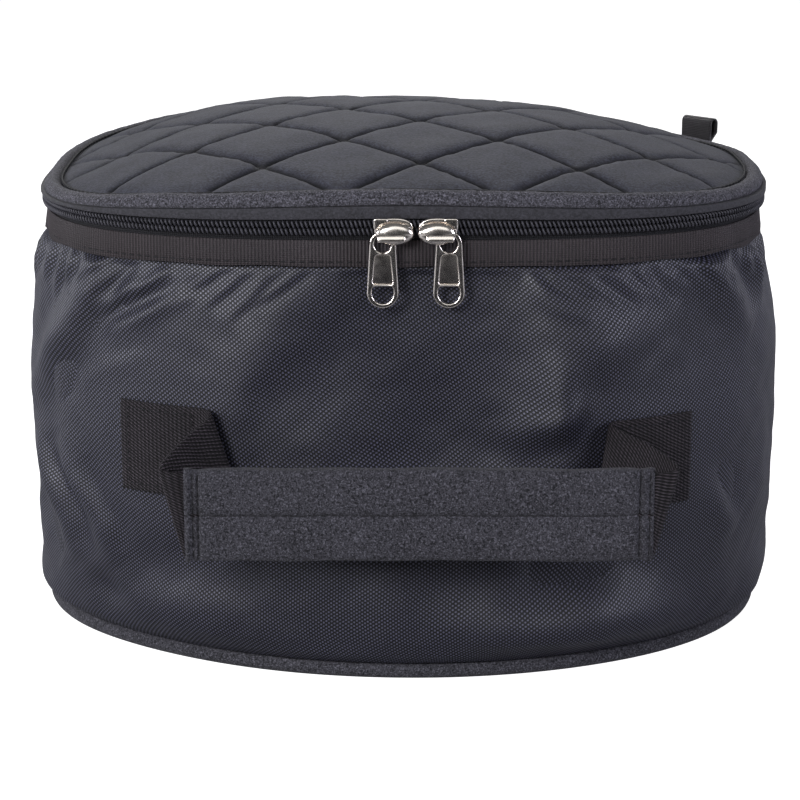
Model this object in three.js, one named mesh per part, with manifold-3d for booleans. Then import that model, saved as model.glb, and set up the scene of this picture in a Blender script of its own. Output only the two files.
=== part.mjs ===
// An oval helmet bag: a soft woven drum with a quilted, domed lid that zips round the top,
// felt piping at the floor and a padded carry handle on a webbing strap across the front.
// Millimetres, +Z up, the front faces -Y. The origin is the middle of the base, on the floor.
import * as THREE from "three";
import { mergeVertices } from "three/addons/utils/BufferGeometryUtils.js";
import Module from "manifold-3d";

const wasm = await Module();
wasm.setup();

// Ovals seen from above: half sizes, and how square the front half and the back half are (2 is an ellipse).
const RIM = { halfWidth: 157, halfDepth: 138, front: 3.15, back: 2.4 };
const BASE = { halfWidth: 161, halfDepth: 140, front: 2.05, back: 2.35 };
const AROUND = 60;
const LID_AROUND = 36;

// The soft drum stands a little twisted: its foot is turned about Z, in degrees, up to the height where the
// twist ends, and the rim's back is slewed, by this share of X, from the height where that starts.
const FOOT_TURN = -3.6;
const FOOT_TURN_END = 70;
const BACK_SLEW = 0.07;
const BACK_SLEW_START = 112;
const BACK_SLEW_REACH = 90;

// Heights of the seams above the floor.
const WALL_TOP = 181;
const TAPE_LOW = 174.2;
const TAPE_HIGH = 185;
const COIL_LOW = 187;
const COIL_MIDDLE = 189.5;
const COIL_HIGH = 192;
const BAND_HIGH = 196.9;
const ZIP_TAPE_HIGH = 196.5;
const LID_SEAM = 201.8;

// Thicknesses, clearances and widths.
const GAP = 0.3;
const WALL = 2.2;
const BASE_BOARD = 3;
const TAPE = 1.2;
const ZIP_TAPE = 0.9;
const PIPING = 3.4;
const BORDER_WIDTH = 6.6;
const LID_PAD = 6;
const LID_RISE = 19;
const LID_CURVE = 2.2;
const LID_ARCH = 2;
const LID_ARCH_SPREAD = 60;
const LID_ARCH_FROM = 60;
const SIDE_SAG = 3.4;
const SIDE_SAG_FROM = 50;
const LEFT_SAG = 3.2;
const LEFT_SAG_FROM = 90;
const BACK_TILT = 0.02;
const BACK_TILT_FROM = -40;
const BACK_TILT_TO = 110;
const HINGE_HALF_ANGLE = 24;

// How far each ring's outer face stands from the rim oval, outwards.
const TAPE_FACE = -0.8;
const ZIP_FACE = -2.3;
const COIL_FACE = 0.2;
const BAND_FACE = -0.3;

// Quilting: square diamonds stitched corner to corner along X.
const DIAMOND = 65;
const DIAMOND_START = { x: 39.6, y: -131.9 };
const CHANNEL_WIDTH = 6;
const CHANNEL_DEPTH = 2.4;
const CHANNEL_STEP = 46;

// Handle.
const WEBBING_THICK = 1.8;
const GRIP_HEIGHT = 37.4;
const GRIP_THICK = 7.6;
const GRIP_HALF_LENGTH = 92.5;
const GRIP_SHIFT = 6;
const GRIP_GROOVE = 1.1;
const GRIP_Y = -174;
const GRIP_Z = 82.2;
const PATCH_WALL_Z = 98;
const SEWN_OUT = 1.3;
const FREE_OUT = 34;

// Zip sliders and their pulls.
const SLIDER_MIDDLE = 4.8;
const SLIDER_NOSE_GAP = 1.2;
const SLIDER_LENGTH = 16;
const SLIDER_HEIGHT = 10;
const PLATE_BACK = 0.5;
const PLATE_THICK = 1.4;
const BRIDGE_BACK = 5.5;
const BRIDGE_THICK = 1.4;
const BRIDGE_HEIGHT = 3;
const PIN_RADIUS = 1.1;
const PIN_FROM_NOSE = 12.6;
const PIN_Z = 186.2;
const PULL_THICK = 1.8;
const PULL_BACK = 2.8;
const PULL_EYE = 3.2;
const PULL_TOP_RADIUS = 5.3;
const PULL_END_RADIUS = 6.4;
const PULL_LENGTH = 19.6;

// Ribbon loop sewn into the lid's back right seam.
const LOOP_ANGLE = 30;
const LOOP_FACING = 42;
const LOOP_SEAT = 1.25;
const LOOP_WIDTH = 18;
const LOOP_RIBBON = 1;
const LOOP_STEM = 192.2;
const LOOP_KNEE = 194;
const LOOP_TOP = 206.4;
const LOOP_LEG_IN = 2.1;
const LOOP_LEG_OUT = 7.6;

// The woven wall, section by section from the piping up: it bulges, then tucks in behind the tape.
const WALL_SECTIONS = [
  { z: 7.3, halfWidth: 160.6, halfDepth: 139.6, front: 2.05, back: 2.35 },
  { z: 12, halfWidth: 164.4, halfDepth: 143.0, front: 2.12, back: 2.35 },
  { z: 26, halfWidth: 166.3, halfDepth: 145.2, front: 2.26, back: 2.4 },
  { z: 42, halfWidth: 167.0, halfDepth: 146.2, front: 2.36, back: 2.4 },
  { z: 60, halfWidth: 167.6, halfDepth: 147.0, front: 2.45, back: 2.4 },
  { z: 98, halfWidth: 167.8, halfDepth: 147.2, front: 2.55, back: 2.45 },
  { z: 126, halfWidth: 166.9, halfDepth: 145.4, front: 2.6, back: 2.45 },
  { z: 142, halfWidth: 165.0, halfDepth: 142.4, front: 2.7, back: 2.45 },
  { z: 158, halfWidth: 162.2, halfDepth: 139.2, front: 2.85, back: 2.45 },
  { z: 168, halfWidth: 159.2, halfDepth: 137.0, front: 3.0, back: 2.4 },
  { z: 173.2, halfWidth: 155.2, halfDepth: 136.0, front: 3.1, back: 2.4 },
  { z: 174, halfWidth: 154.2, halfDepth: 135.2, front: 3.15, back: 2.4 },
  { z: WALL_TOP, halfWidth: 154.2, halfDepth: 135.2, front: 3.15, back: 2.4 },
];

// Soft folds of the wall: where each starts under the tape (degrees, 270 is the front), how far it pushes
// out (or in), how wide it is, how far it leans over its length, and between which heights it runs.
const FOLDS = [
  { angle: 214, push: 3.4, spread: 7, lean: -16, low: 70, high: 178 },
  { angle: 224, push: -3.0, spread: 6, lean: -14, low: 96, high: 178 },
  { angle: 202, push: -2.4, spread: 7, lean: -8, low: 30, high: 172 },
  { angle: 188, push: 0.8, spread: 8, lean: 10, low: 16, high: 150 },
  { angle: 192, push: 2.6, spread: 18, lean: 0, low: -40, high: 52 },
  { angle: 192, push: 2.6, spread: 12, lean: 0, low: 110, high: 175 },
  { angle: 206, push: 1.6, spread: 8, lean: 16, low: 10, high: 90 },
  { angle: 326, push: 3.0, spread: 7, lean: 12, low: 84, high: 178 },
  { angle: 338, push: -2.6, spread: 7, lean: 8, low: 60, high: 176 },
  { angle: 350, push: 2.0, spread: 8, lean: -8, low: 20, high: 160 },
  { angle: 318, push: -1.8, spread: 7, lean: 8, low: 126, high: 178 },
  { angle: 40, push: 2.4, spread: 9, lean: 8, low: 40, high: 176 },
  { angle: 62, push: -2.2, spread: 9, lean: -6, low: 50, high: 174 },
  { angle: 118, push: -2.2, spread: 9, lean: 6, low: 40, high: 174 },
  { angle: 142, push: 2.4, spread: 9, lean: -8, low: 50, high: 176 },
];

// Broad hollows and bulges of the wall: where each is (degrees and height), how far it pushes out (or in),
// and how wide (degrees) and tall it is. They fade out towards the piping and the tape.
const DENT_FADE_LOW = 24;
const DENT_FADE_HIGH = 160;
const DENTS = [
  { angle: 271.5, z: 92, push: -8, spread: 14, tall: 30 },
  { angle: 259, z: 124, push: -2.4, spread: 8, tall: 20 },
  { angle: 292, z: 130, push: 2.8, spread: 7, tall: 28 },
  { angle: 270, z: 46, push: -3, spread: 11, tall: 20 },
  { angle: 243, z: 34, push: 2.4, spread: 11, tall: 16 },
  { angle: 291, z: 30, push: 2.6, spread: 15, tall: 15 },
  { angle: 192, z: 26, push: 2.4, spread: 18, tall: 14 },
  { angle: 348, z: 24, push: 2.2, spread: 16, tall: 14 },
  { angle: 90, z: 95, push: -2.4, spread: 36, tall: 40 },
];

// The sewn ends of the strap: which side, how far the end is moved along X, and the height of its middle.
const STRAP_ENDS = [
  { side: -1, move: 0, z: 97.4 },
  { side: 1, move: 2.4, z: 91.6 },
];

// The strap from a sewn end to the grip: distance from the middle, distance in front of the wall, share of
// the way down to the grip, how far its lower edge leans inwards, its height, and its share of the grip's
// shift.
const STRAP_STATIONS = [
  { x: 116, out: 1.3, sink: 0, lean: 0, height: 38, shift: 0 },
  { x: 104, out: 1.3, sink: 0, lean: 0, height: 38, shift: 0 },
  { x: 93, out: 1.3, sink: 0, lean: 0, height: 38, shift: 0 },
  { x: 84, out: 1.3, sink: 0, lean: 0, height: 38, shift: 0 },
  { x: 76, out: 2.6, sink: 0.02, lean: 6, height: 38, shift: 0.05 },
  { x: 73, out: 5.6, sink: 0.08, lean: 12.5, height: 38, shift: 0.2 },
  { x: 76.5, out: 8.8, sink: 0.18, lean: 12, height: 38, shift: 0.4 },
  { x: 83.5, out: 12, sink: 0.34, lean: 11, height: 38, shift: 0.6 },
  { x: 92.5, out: 15.6, sink: 0.54, lean: 10, height: 38, shift: 0.8 },
  { x: 99, out: 20.5, sink: 0.73, lean: 9, height: 38, shift: 0.95 },
  { x: 101.8, out: 26, sink: 0.87, lean: 7.6, height: 36.5, shift: 1 },
  { x: 100.2, out: 30.8, sink: 0.96, lean: 4.4, height: 34.8, shift: 1 },
  { x: 96, out: 33.2, sink: 0.99, lean: 1, height: 33.6, shift: 1 },
  { x: 91, out: 34, sink: 1, lean: 0, height: 33, shift: 1 },
  { x: 60, out: 34, sink: 1, lean: 0, height: 33, shift: 1 },
  { x: 30, out: 34, sink: 1, lean: 0, height: 33, shift: 1 },
];

const fabric = (color, roughness) => new THREE.MeshStandardMaterial({ color, roughness, metalness: 0 });
const WOVEN = fabric(0x34353d, 0.62);
const FELT = fabric(0x3c3d42, 0.95);
const QUILT = fabric(0x3a3c44, 0.85);
const SMOOTH_TRIM = fabric(0x2b2c32, 0.8);
const GROSGRAIN = fabric(0x2a282b, 0.75);
const ZIP_FABRIC = fabric(0x1f1f24, 0.8);
const COIL = fabric(0x23242b, 0.4);
const STRAP_WEB = fabric(0x262428, 0.75);
const RIBBON = fabric(0x252327, 0.5);
const NICKEL = new THREE.MeshStandardMaterial({ color: 0xd8d0c8, roughness: 0.15, metalness: 1 });

const radians = THREE.MathUtils.degToRad;
const smooth = THREE.MathUtils.smoothstep;

// Point of an oval in the direction of angle t, pushed outwards along the oval's normal by offset.
function ovalPoint(oval, t, offset = 0) {
  const cos = Math.cos(t);
  const sin = Math.sin(t);
  const n = sin < 0 ? oval.front : oval.back;
  const across = Math.abs(cos / oval.halfWidth);
  const along = Math.abs(sin / oval.halfDepth);
  const reach = (across ** n + along ** n) ** (-1 / n);
  const normal = new THREE.Vector2(
    (Math.sign(cos) * (reach * across) ** (n - 1)) / oval.halfWidth,
    (Math.sign(sin) * (reach * along) ** (n - 1)) / oval.halfDepth,
  ).normalize();
  return new THREE.Vector2(reach * cos, reach * sin).addScaledVector(normal, offset);
}

// The front of the lid is bowed up a little between its corners, the zip below follows it part of the way,
// and the padded border sinks towards the sides, most on the left, and leans to the right at the back.
function lidLift(x, y, z) {
  const spread = Math.exp(-((x / LID_ARCH_SPREAD) ** 2));
  const arch = LID_ARCH * spread * smooth(-y, LID_ARCH_FROM, RIM.halfDepth) * smooth(z, TAPE_HIGH, BAND_HIGH);
  const sideways = smooth(Math.abs(x), SIDE_SAG_FROM, RIM.halfWidth);
  const leftwards = smooth(-x, LEFT_SAG_FROM, RIM.halfWidth);
  const sag = (SIDE_SAG * sideways + LEFT_SAG * leftwards) * smooth(z, COIL_MIDDLE, LID_SEAM);
  const backwards = smooth(y, BACK_TILT_FROM, BACK_TILT_TO);
  const lean = BACK_TILT * x * backwards * smooth(z, COIL_HIGH, LID_SEAM);
  return arch - sag - lean;
}

// Point of the true, slightly twisted bag for a point of the straight one.
function twisted(x, y, z) {
  const turn = radians(FOOT_TURN) * (1 - smooth(z, 2 * PIPING, FOOT_TURN_END));
  const slew = BACK_SLEW * x * smooth(y, 0, BACK_SLEW_REACH) * smooth(z, BACK_SLEW_START, TAPE_LOW);
  const p = new THREE.Vector2(x, y - slew).rotateAround(new THREE.Vector2(), turn);
  return new THREE.Vector3(p.x, p.y, z);
}

function rimPoint(t, offset, z) {
  const p = ovalPoint(RIM, t, offset);
  return twisted(p.x, p.y, z + lidLift(p.x, p.y, z));
}

// Degrees from one direction to another, between -180 and 180.
const turnBetween = (from, to) => ((to - from + 540) % 360) - 180;
const bell = (away) => Math.exp(-away * away);

// Distance that folds and dents push the wall outwards at angle t and height z.
function foldPush(t, z) {
  const degrees = THREE.MathUtils.radToDeg(t);
  const folds = FOLDS.map((fold) => {
    const along = THREE.MathUtils.clamp((fold.high - z) / (fold.high - fold.low), 0, 1);
    const middle = fold.angle + fold.lean * along;
    const fade = smooth(along, 0, 0.12) * (1 - smooth(along, 0.35, 1));
    return fold.push * fade * bell(turnBetween(middle, degrees) / fold.spread);
  });
  const held = smooth(z, 2 * PIPING, DENT_FADE_LOW) * (1 - smooth(z, DENT_FADE_HIGH, TAPE_LOW));
  const dents = DENTS.map((dent) => {
    const across = bell(turnBetween(dent.angle, degrees) / dent.spread);
    return dent.push * held * across * bell((z - dent.z) / dent.tall);
  });
  return [...folds, ...dents].reduce((total, push) => total + push, 0);
}

// How far forward the wall's front stands at x, at the height where the handle is sewn on.
function wallFront(x) {
  const section = WALL_SECTIONS.find((row) => row.z === PATCH_WALL_Z);
  const share = Math.abs(x / section.halfWidth) ** section.front;
  return section.halfDepth * (1 - share) ** (1 / section.front);
}

// Height of the quilted lid over (x, y), before its channels.
function lidHeight(x, y) {
  const n = y < 0 ? RIM.front : RIM.back;
  const across = Math.abs(x / (RIM.halfWidth - BORDER_WIDTH)) ** n;
  const along = Math.abs(y / (RIM.halfDepth - BORDER_WIDTH)) ** n;
  const share = Math.min((across + along) ** (1 / n), 1);
  return LID_SEAM + LID_RISE * (1 - share ** LID_CURVE) + lidLift(x, y, LID_SEAM);
}

const angles = (from, to, count) =>
  Array.from({ length: count + 1 }, (_, i) => radians(from + ((to - from) * i) / count));
const FULL_CIRCLE = angles(0, 360, AROUND).slice(0, AROUND);
const LID_CIRCLE = angles(0, 360, LID_AROUND).slice(0, LID_AROUND);

// Solid through a row of closed sections. A ring joins its last section to its first; otherwise the ends
// are capped. Faces are turned to point out, and faces that shrink to a line on an axis are left out.
function loft(sections, ring) {
  const size = sections[0].length;
  const positions = sections.flat().flatMap((p) => [p.x, p.y, p.z]);
  const faces = [];
  const spans = ring ? sections.length : sections.length - 1;
  for (let i = 0; i < spans; i++) {
    const here = i * size;
    const next = ((i + 1) % sections.length) * size;
    for (let j = 0; j < size; j++) {
      const k = (j + 1) % size;
      faces.push([here + j, next + j, next + k], [here + j, next + k, here + k]);
    }
  }
  if (!ring) {
    const last = (sections.length - 1) * size;
    for (let j = 1; j < size - 1; j++) faces.push([0, j, j + 1], [last, last + j + 1, last + j]);
  }
  const loose = new THREE.BufferGeometry();
  loose.setAttribute("position", new THREE.Float32BufferAttribute(positions, 3));
  loose.setIndex(faces.flat());
  return outward(mergeVertices(loose, 1e-4));
}

function outward(geometry) {
  const position = geometry.attributes.position;
  const at = (i) => new THREE.Vector3().fromBufferAttribute(position, i);
  const index = geometry.index.array;
  const kept = [];
  let volume = 0;
  for (let i = 0; i < index.length; i += 3) {
    const [a, b, c] = index.slice(i, i + 3);
    if (a === b || b === c || c === a) continue;
    kept.push([a, b, c]);
    volume += at(a).dot(at(b).cross(at(c)));
  }
  const turned = volume < 0 ? kept.map(([a, b, c]) => [a, c, b]) : kept;
  geometry.setIndex(turned.flat());
  geometry.computeVertexNormals();
  return geometry;
}

// Ring swept round the rim: profile is a list of [offset, height] corners.
function rimRing(profile, from = 0, to = 360) {
  const whole = to - from === 360;
  const steps = Math.round(((to - from) * AROUND) / 360);
  const turns = whole ? FULL_CIRCLE : angles(from, to, steps);
  return loft(turns.map((t) => profile.map(([offset, z]) => rimPoint(t, offset, z))), whole);
}

const slab = (face, thickness, low, high) => [
  [face, low],
  [face, high],
  [face - thickness, high],
  [face - thickness, low],
];

function toSolid(geometry) {
  const bare = new THREE.BufferGeometry();
  bare.setAttribute("position", geometry.attributes.position);
  bare.setIndex(geometry.index);
  const merged = mergeVertices(bare, 1e-4);
  return new wasm.Manifold(
    new wasm.Mesh({
      numProp: 3,
      vertProperties: new Float32Array(merged.attributes.position.array),
      triVerts: new Uint32Array(merged.index.array),
    }),
  );
}

function toGeometry(solid) {
  const mesh = solid.getMesh();
  const geometry = new THREE.BufferGeometry();
  geometry.setAttribute("position", new THREE.Float32BufferAttribute(mesh.vertProperties, 3));
  geometry.setIndex(new THREE.Uint32BufferAttribute(mesh.triVerts, 1));
  geometry.computeVertexNormals();
  return geometry;
}

function piece(name, geometry, material) {
  const mesh = new THREE.Mesh(geometry, material);
  mesh.name = name;
  return mesh;
}

// The drum: base board, felt piping round its edge and the woven wall.
function baseBoard() {
  const inset = -(2 * PIPING + GAP);
  const outline = new THREE.Shape(FULL_CIRCLE.map((t) => ovalPoint(BASE, t, inset)));
  const board = new THREE.ExtrudeGeometry(outline, { depth: BASE_BOARD, bevelEnabled: false });
  return board.rotateZ(radians(FOOT_TURN));
}

function basePiping() {
  const sides = 6;
  const middle = PIPING + 0.05;
  const turn = Math.PI / sides;
  const round = (k) => turn + (2 * Math.PI * k) / sides;
  const sections = FULL_CIRCLE.map((t) =>
    Array.from({ length: sides }, (_, k) => {
      const p = ovalPoint(BASE, t, -PIPING + PIPING * Math.cos(round(k)));
      const z = middle + (PIPING / Math.cos(turn)) * Math.sin(round(k)) * Math.cos(turn);
      return twisted(p.x, p.y, z);
    }),
  );
  return loft(sections, true);
}

function bodyWall() {
  const at = (row, t, inset) => {
    const p = ovalPoint(row, t, foldPush(t, row.z) - inset);
    return twisted(p.x, p.y, row.z);
  };
  const sections = FULL_CIRCLE.map((t) => [
    ...WALL_SECTIONS.map((row) => at(row, t, 0)),
    ...WALL_SECTIONS.toReversed().map((row) => at(row, t, WALL)),
  ]);
  return loft(sections, true);
}

// The lid: quilted panel, padded felt border and the plain band down to the zip.
function lidDome() {
  const shares = [0, 0.34, 0.62, 0.85, 1];
  const edge = -(BORDER_WIDTH + 2 * GAP);
  const sections = LID_CIRCLE.map((t) => {
    const rim = ovalPoint(RIM, t, edge);
    const top = shares.map((s) => twisted(rim.x * s, rim.y * s, lidHeight(rim.x * s, rim.y * s)));
    const under = [4, 2, 0].map((i) => top[i].clone().setZ(top[i].z - LID_PAD));
    return [...top, ...under];
  });
  return loft(sections, true);
}

// One stitched channel: a V that follows the dome along a straight line across the lid.
function channel(start, direction, length) {
  const side = new THREE.Vector2(-direction.y, direction.x).multiplyScalar(CHANNEL_WIDTH / 2);
  const steps = Math.max(2, Math.round(length / CHANNEL_STEP));
  const sections = Array.from({ length: steps + 1 }, (_, i) => {
    const p = start.clone().addScaledVector(direction, (length * i) / steps);
    const z = lidHeight(p.x, p.y);
    return [
      twisted(p.x - side.x, p.y - side.y, z + 1),
      twisted(p.x + side.x, p.y + side.y, z + 1),
      twisted(p.x, p.y, z - CHANNEL_DEPTH),
    ];
  });
  return toSolid(loft(sections, false));
}

// Part of a stitch line that lies inside the panel, as its start and its length.
function lineInsideLid(point, direction) {
  const margin = -(BORDER_WIDTH + 1.5);
  const reach = 2 * (RIM.halfWidth + RIM.halfDepth);
  const inside = [];
  for (let s = -reach; s <= reach; s += 1) {
    const p = point.clone().addScaledVector(direction, s);
    if (p.length() < ovalPoint(RIM, Math.atan2(p.y, p.x), margin).length()) inside.push(s);
  }
  if (inside.length < CHANNEL_STEP) return null;
  return { start: point.clone().addScaledVector(direction, inside[0]), length: inside.at(-1) - inside[0] };
}

function lidPanel() {
  let panel = toSolid(lidDome());
  const lines = Math.ceil((RIM.halfWidth + RIM.halfDepth) / DIAMOND) + 2;
  for (const slope of [1, -1]) {
    const direction = new THREE.Vector2(1, slope).normalize();
    for (let k = -lines; k <= lines; k++) {
      const crossing = new THREE.Vector2(DIAMOND_START.x + k * DIAMOND, DIAMOND_START.y);
      const line = lineInsideLid(crossing, direction);
      if (line) panel = panel.subtract(channel(line.start, direction, line.length));
    }
  }
  return toGeometry(panel);
}

function lidBorder() {
  return rimRing([
    [-0.8, 197.3],
    [-0.5, 199],
    [-1.6, 201.6],
    [-4.2, 202.9],
    [-BORDER_WIDTH, LID_SEAM - 0.5],
    [-BORDER_WIDTH, 197.3],
  ]);
}

// The zip: two tapes, the closed coil over the slit between them, and the cloth hinge at the back.
const ZIP_FROM = 90 + HINGE_HALF_ANGLE;
const ZIP_TO = 450 - HINGE_HALF_ANGLE;
const zipRing = (profile) => rimRing(profile, ZIP_FROM, ZIP_TO);
const zipTape = (low, high) => zipRing(slab(ZIP_FACE, ZIP_TAPE, low, high));

function zipCoil() {
  const round = 0.7;
  const back = ZIP_FACE + GAP;
  return zipRing([
    [back, COIL_LOW],
    [COIL_FACE - round, COIL_LOW],
    [COIL_FACE, COIL_LOW + round],
    [COIL_FACE, COIL_HIGH - round],
    [COIL_FACE - round, COIL_HIGH],
    [back, COIL_HIGH],
  ]);
}

function hingeStrip() {
  const clearance = 0.2;
  const profile = slab(ZIP_FACE, ZIP_TAPE, WALL_TOP + GAP, ZIP_TAPE_HIGH);
  return rimRing(profile, 90 - HINGE_HALF_ANGLE + clearance, 90 + HINGE_HALF_ANGLE - clearance);
}

// A zip slider: plate over the coil, and a bridge whose outer post carries the pull.
// Local X runs from the nose to the tail, local Y is height, local Z is the way out of the bag.
function zipSlider() {
  const half = SLIDER_HEIGHT / 2;
  const tail = SLIDER_LENGTH;
  const plate = new THREE.Shape();
  plate.moveTo(0, -half * 0.35);
  plate.quadraticCurveTo(2.2, -half, 7, -half);
  plate.lineTo(tail - 3.4, -half * 0.86);
  plate.lineTo(tail, -half * 0.8);
  plate.lineTo(tail, half * 0.8);
  plate.lineTo(tail - 3.4, half * 0.86);
  plate.lineTo(7, half);
  plate.quadraticCurveTo(2.2, half, 0, half * 0.35);
  const plateSolid = new THREE.ExtrudeGeometry(plate, {
    depth: PLATE_THICK - 0.8,
    bevelThickness: 0.4,
    bevelSize: 0.4,
    bevelOffset: -0.4,
    bevelSegments: 1,
    curveSegments: 5,
  });
  plateSolid.translate(0, 0, PLATE_BACK + 0.4);
  const foot = 2.4;
  const bend = 3.4;
  const legWidth = 2.2;
  const top = BRIDGE_BACK + BRIDGE_THICK;
  const end = PIN_FROM_NOSE + PIN_RADIUS + 0.3;
  const base = PLATE_BACK + 0.2;
  const arch = new THREE.Shape();
  arch.moveTo(foot, base);
  arch.quadraticCurveTo(foot, top, foot + bend, top);
  arch.lineTo(end, top);
  arch.lineTo(end, BRIDGE_BACK);
  arch.lineTo(foot + bend, BRIDGE_BACK);
  arch.quadraticCurveTo(foot + legWidth, BRIDGE_BACK, foot + legWidth, base);
  const archSolid = new THREE.ExtrudeGeometry(arch, {
    depth: BRIDGE_HEIGHT,
    bevelEnabled: false,
    curveSegments: 4,
  });
  archSolid.translate(0, 0, -BRIDGE_HEIGHT / 2);
  archSolid.rotateX(Math.PI / 2);
  archSolid.translate(0, PIN_Z - COIL_MIDDLE, 0);
  const post = new THREE.CylinderGeometry(PIN_RADIUS, PIN_RADIUS, top - base - 0.4, 12);
  post.rotateX(Math.PI / 2);
  post.translate(PIN_FROM_NOSE, PIN_Z - COIL_MIDDLE, (top + base) / 2);
  return toGeometry(toSolid(plateSolid).add(toSolid(archSolid)).add(toSolid(post)));
}

// A pull: tapered plate with an eye over the slider's post, a shallow panel and a round-cornered window.
// Its origin is the middle of the post that it hangs on, and it hangs along local -Y.
function zipPull() {
  const eyeY = -(PULL_EYE - PIN_RADIUS - GAP);
  const endY = eyeY - PULL_LENGTH;
  const outline = new THREE.Shape();
  outline.absarc(0, eyeY, PULL_TOP_RADIUS, 0, Math.PI, false);
  outline.lineTo(-PULL_END_RADIUS, endY);
  outline.absarc(0, endY, PULL_END_RADIUS, Math.PI, 2 * Math.PI, false);
  const eye = new THREE.Path();
  eye.absarc(0, eyeY, PULL_EYE, 0, 2 * Math.PI, true);
  const windowHalf = 4.1;
  const window = new THREE.Path();
  window.moveTo(-windowHalf, endY + 2.4);
  window.lineTo(-windowHalf, endY);
  window.absarc(0, endY, windowHalf, Math.PI, 2 * Math.PI, false);
  window.lineTo(windowHalf, endY + 2.4);
  outline.holes.push(eye, window);
  const plate = new THREE.ExtrudeGeometry(outline, {
    depth: PULL_THICK - 0.6,
    bevelThickness: 0.3,
    bevelSize: 0.3,
    bevelOffset: -0.3,
    bevelSegments: 1,
    curveSegments: 5,
  });
  plate.translate(0, 0, PULL_BACK + 0.3);
  const panel = new THREE.Shape();
  panel.moveTo(-2.9, eyeY - PULL_EYE - 2.2);
  panel.lineTo(2.9, eyeY - PULL_EYE - 2.2);
  panel.lineTo(4, endY + 4.6);
  panel.lineTo(-4, endY + 4.6);
  const recess = new THREE.ExtrudeGeometry(panel, { depth: 2, bevelEnabled: false });
  recess.translate(0, 0, PULL_BACK + PULL_THICK - 0.5);
  return toGeometry(toSolid(plate).subtract(toSolid(recess)));
}

// A zip slider or pull stands on the front of the rim: local X to world X, local Y up, local Z to -Y.
function onFront(mesh, x, z, mirror) {
  mesh.rotation.x = Math.PI / 2;
  mesh.position.set(x, -RIM.halfDepth, z);
  mesh.scale.x = mirror;
  return mesh;
}

// The handle: one webbing strap sewn on at both ends, and a padded sleeve round its middle.
function strapSections() {
  const station = (row, end) => {
    const x = end.side * row.x + end.move * (1 - row.shift) + GRIP_SHIFT * row.shift;
    const free = smooth(row.out, SEWN_OUT, FREE_OUT) ** 2;
    const y = THREE.MathUtils.lerp(-wallFront(x) - row.out, GRIP_Y, free);
    return { p: new THREE.Vector3(x, y, THREE.MathUtils.lerp(end.z, GRIP_Z, row.sink)), row, end };
  };
  const [left, right] = STRAP_ENDS;
  const stations = [
    ...STRAP_STATIONS.map((row) => station(row, left)),
    ...STRAP_STATIONS.toReversed().map((row) => station(row, right)),
  ];
  return stations.map(({ p, row, end }, i) => {
    const before = stations[Math.max(i - 1, 0)].p;
    const after = stations[Math.min(i + 1, stations.length - 1)].p;
    const ahead = new THREE.Vector2(after.x - before.x, after.y - before.y).normalize();
    const normal = new THREE.Vector2(ahead.y, -ahead.x);
    return { p, normal, lean: (end.side * row.lean) / 2, height: row.height };
  });
}

// Four corners of the strap at one station.
function strapCorners({ p, normal, lean, height }) {
  const corner = (up, outwards) =>
    new THREE.Vector3(
      p.x + lean * up + (normal.x * WEBBING_THICK * outwards) / 2,
      p.y + (normal.y * WEBBING_THICK * outwards) / 2,
      p.z + (height * up) / 2,
    );
  return [corner(-1, 1), corner(1, 1), corner(1, -1), corner(-1, -1)];
}

const handleStrap = () => loft(strapSections().map(strapCorners), false);

function handleGrip() {
  const half = GRIP_HEIGHT / 2;
  const deep = GRIP_THICK / 2;
  const corner = 1.6;
  const groove = 1.4;
  const profile = new THREE.Shape();
  profile.moveTo(-half + corner, -deep);
  profile.lineTo(half - corner, -deep);
  profile.lineTo(half, -deep + corner);
  profile.lineTo(half, deep - corner);
  profile.lineTo(half - corner, deep);
  profile.lineTo(groove, deep);
  profile.lineTo(0, deep - GRIP_GROOVE);
  profile.lineTo(-groove, deep);
  profile.lineTo(-half + corner, deep);
  profile.lineTo(-half, deep - corner);
  profile.lineTo(-half, -deep + corner);
  const slotHalf = STRAP_STATIONS.at(-1).height / 2 + GAP;
  const slotDeep = WEBBING_THICK / 2 + GAP;
  const slot = new THREE.Path();
  slot.moveTo(-slotHalf, -slotDeep);
  slot.lineTo(-slotHalf, slotDeep);
  slot.lineTo(slotHalf, slotDeep);
  slot.lineTo(slotHalf, -slotDeep);
  profile.holes.push(slot);
  const sleeve = new THREE.ExtrudeGeometry(profile, { depth: 2 * GRIP_HALF_LENGTH, bevelEnabled: false });
  // Shape X becomes height, shape Y the way out of the bag, and the extrusion runs along world X.
  const up = new THREE.Vector3(0, 0, 1);
  const out = new THREE.Vector3(0, -1, 0);
  const along = new THREE.Vector3(1, 0, 0);
  sleeve.applyMatrix4(new THREE.Matrix4().makeBasis(up, out, along));
  sleeve.translate(GRIP_SHIFT - GRIP_HALF_LENGTH, GRIP_Y, GRIP_Z);
  return sleeve;
}

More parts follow.
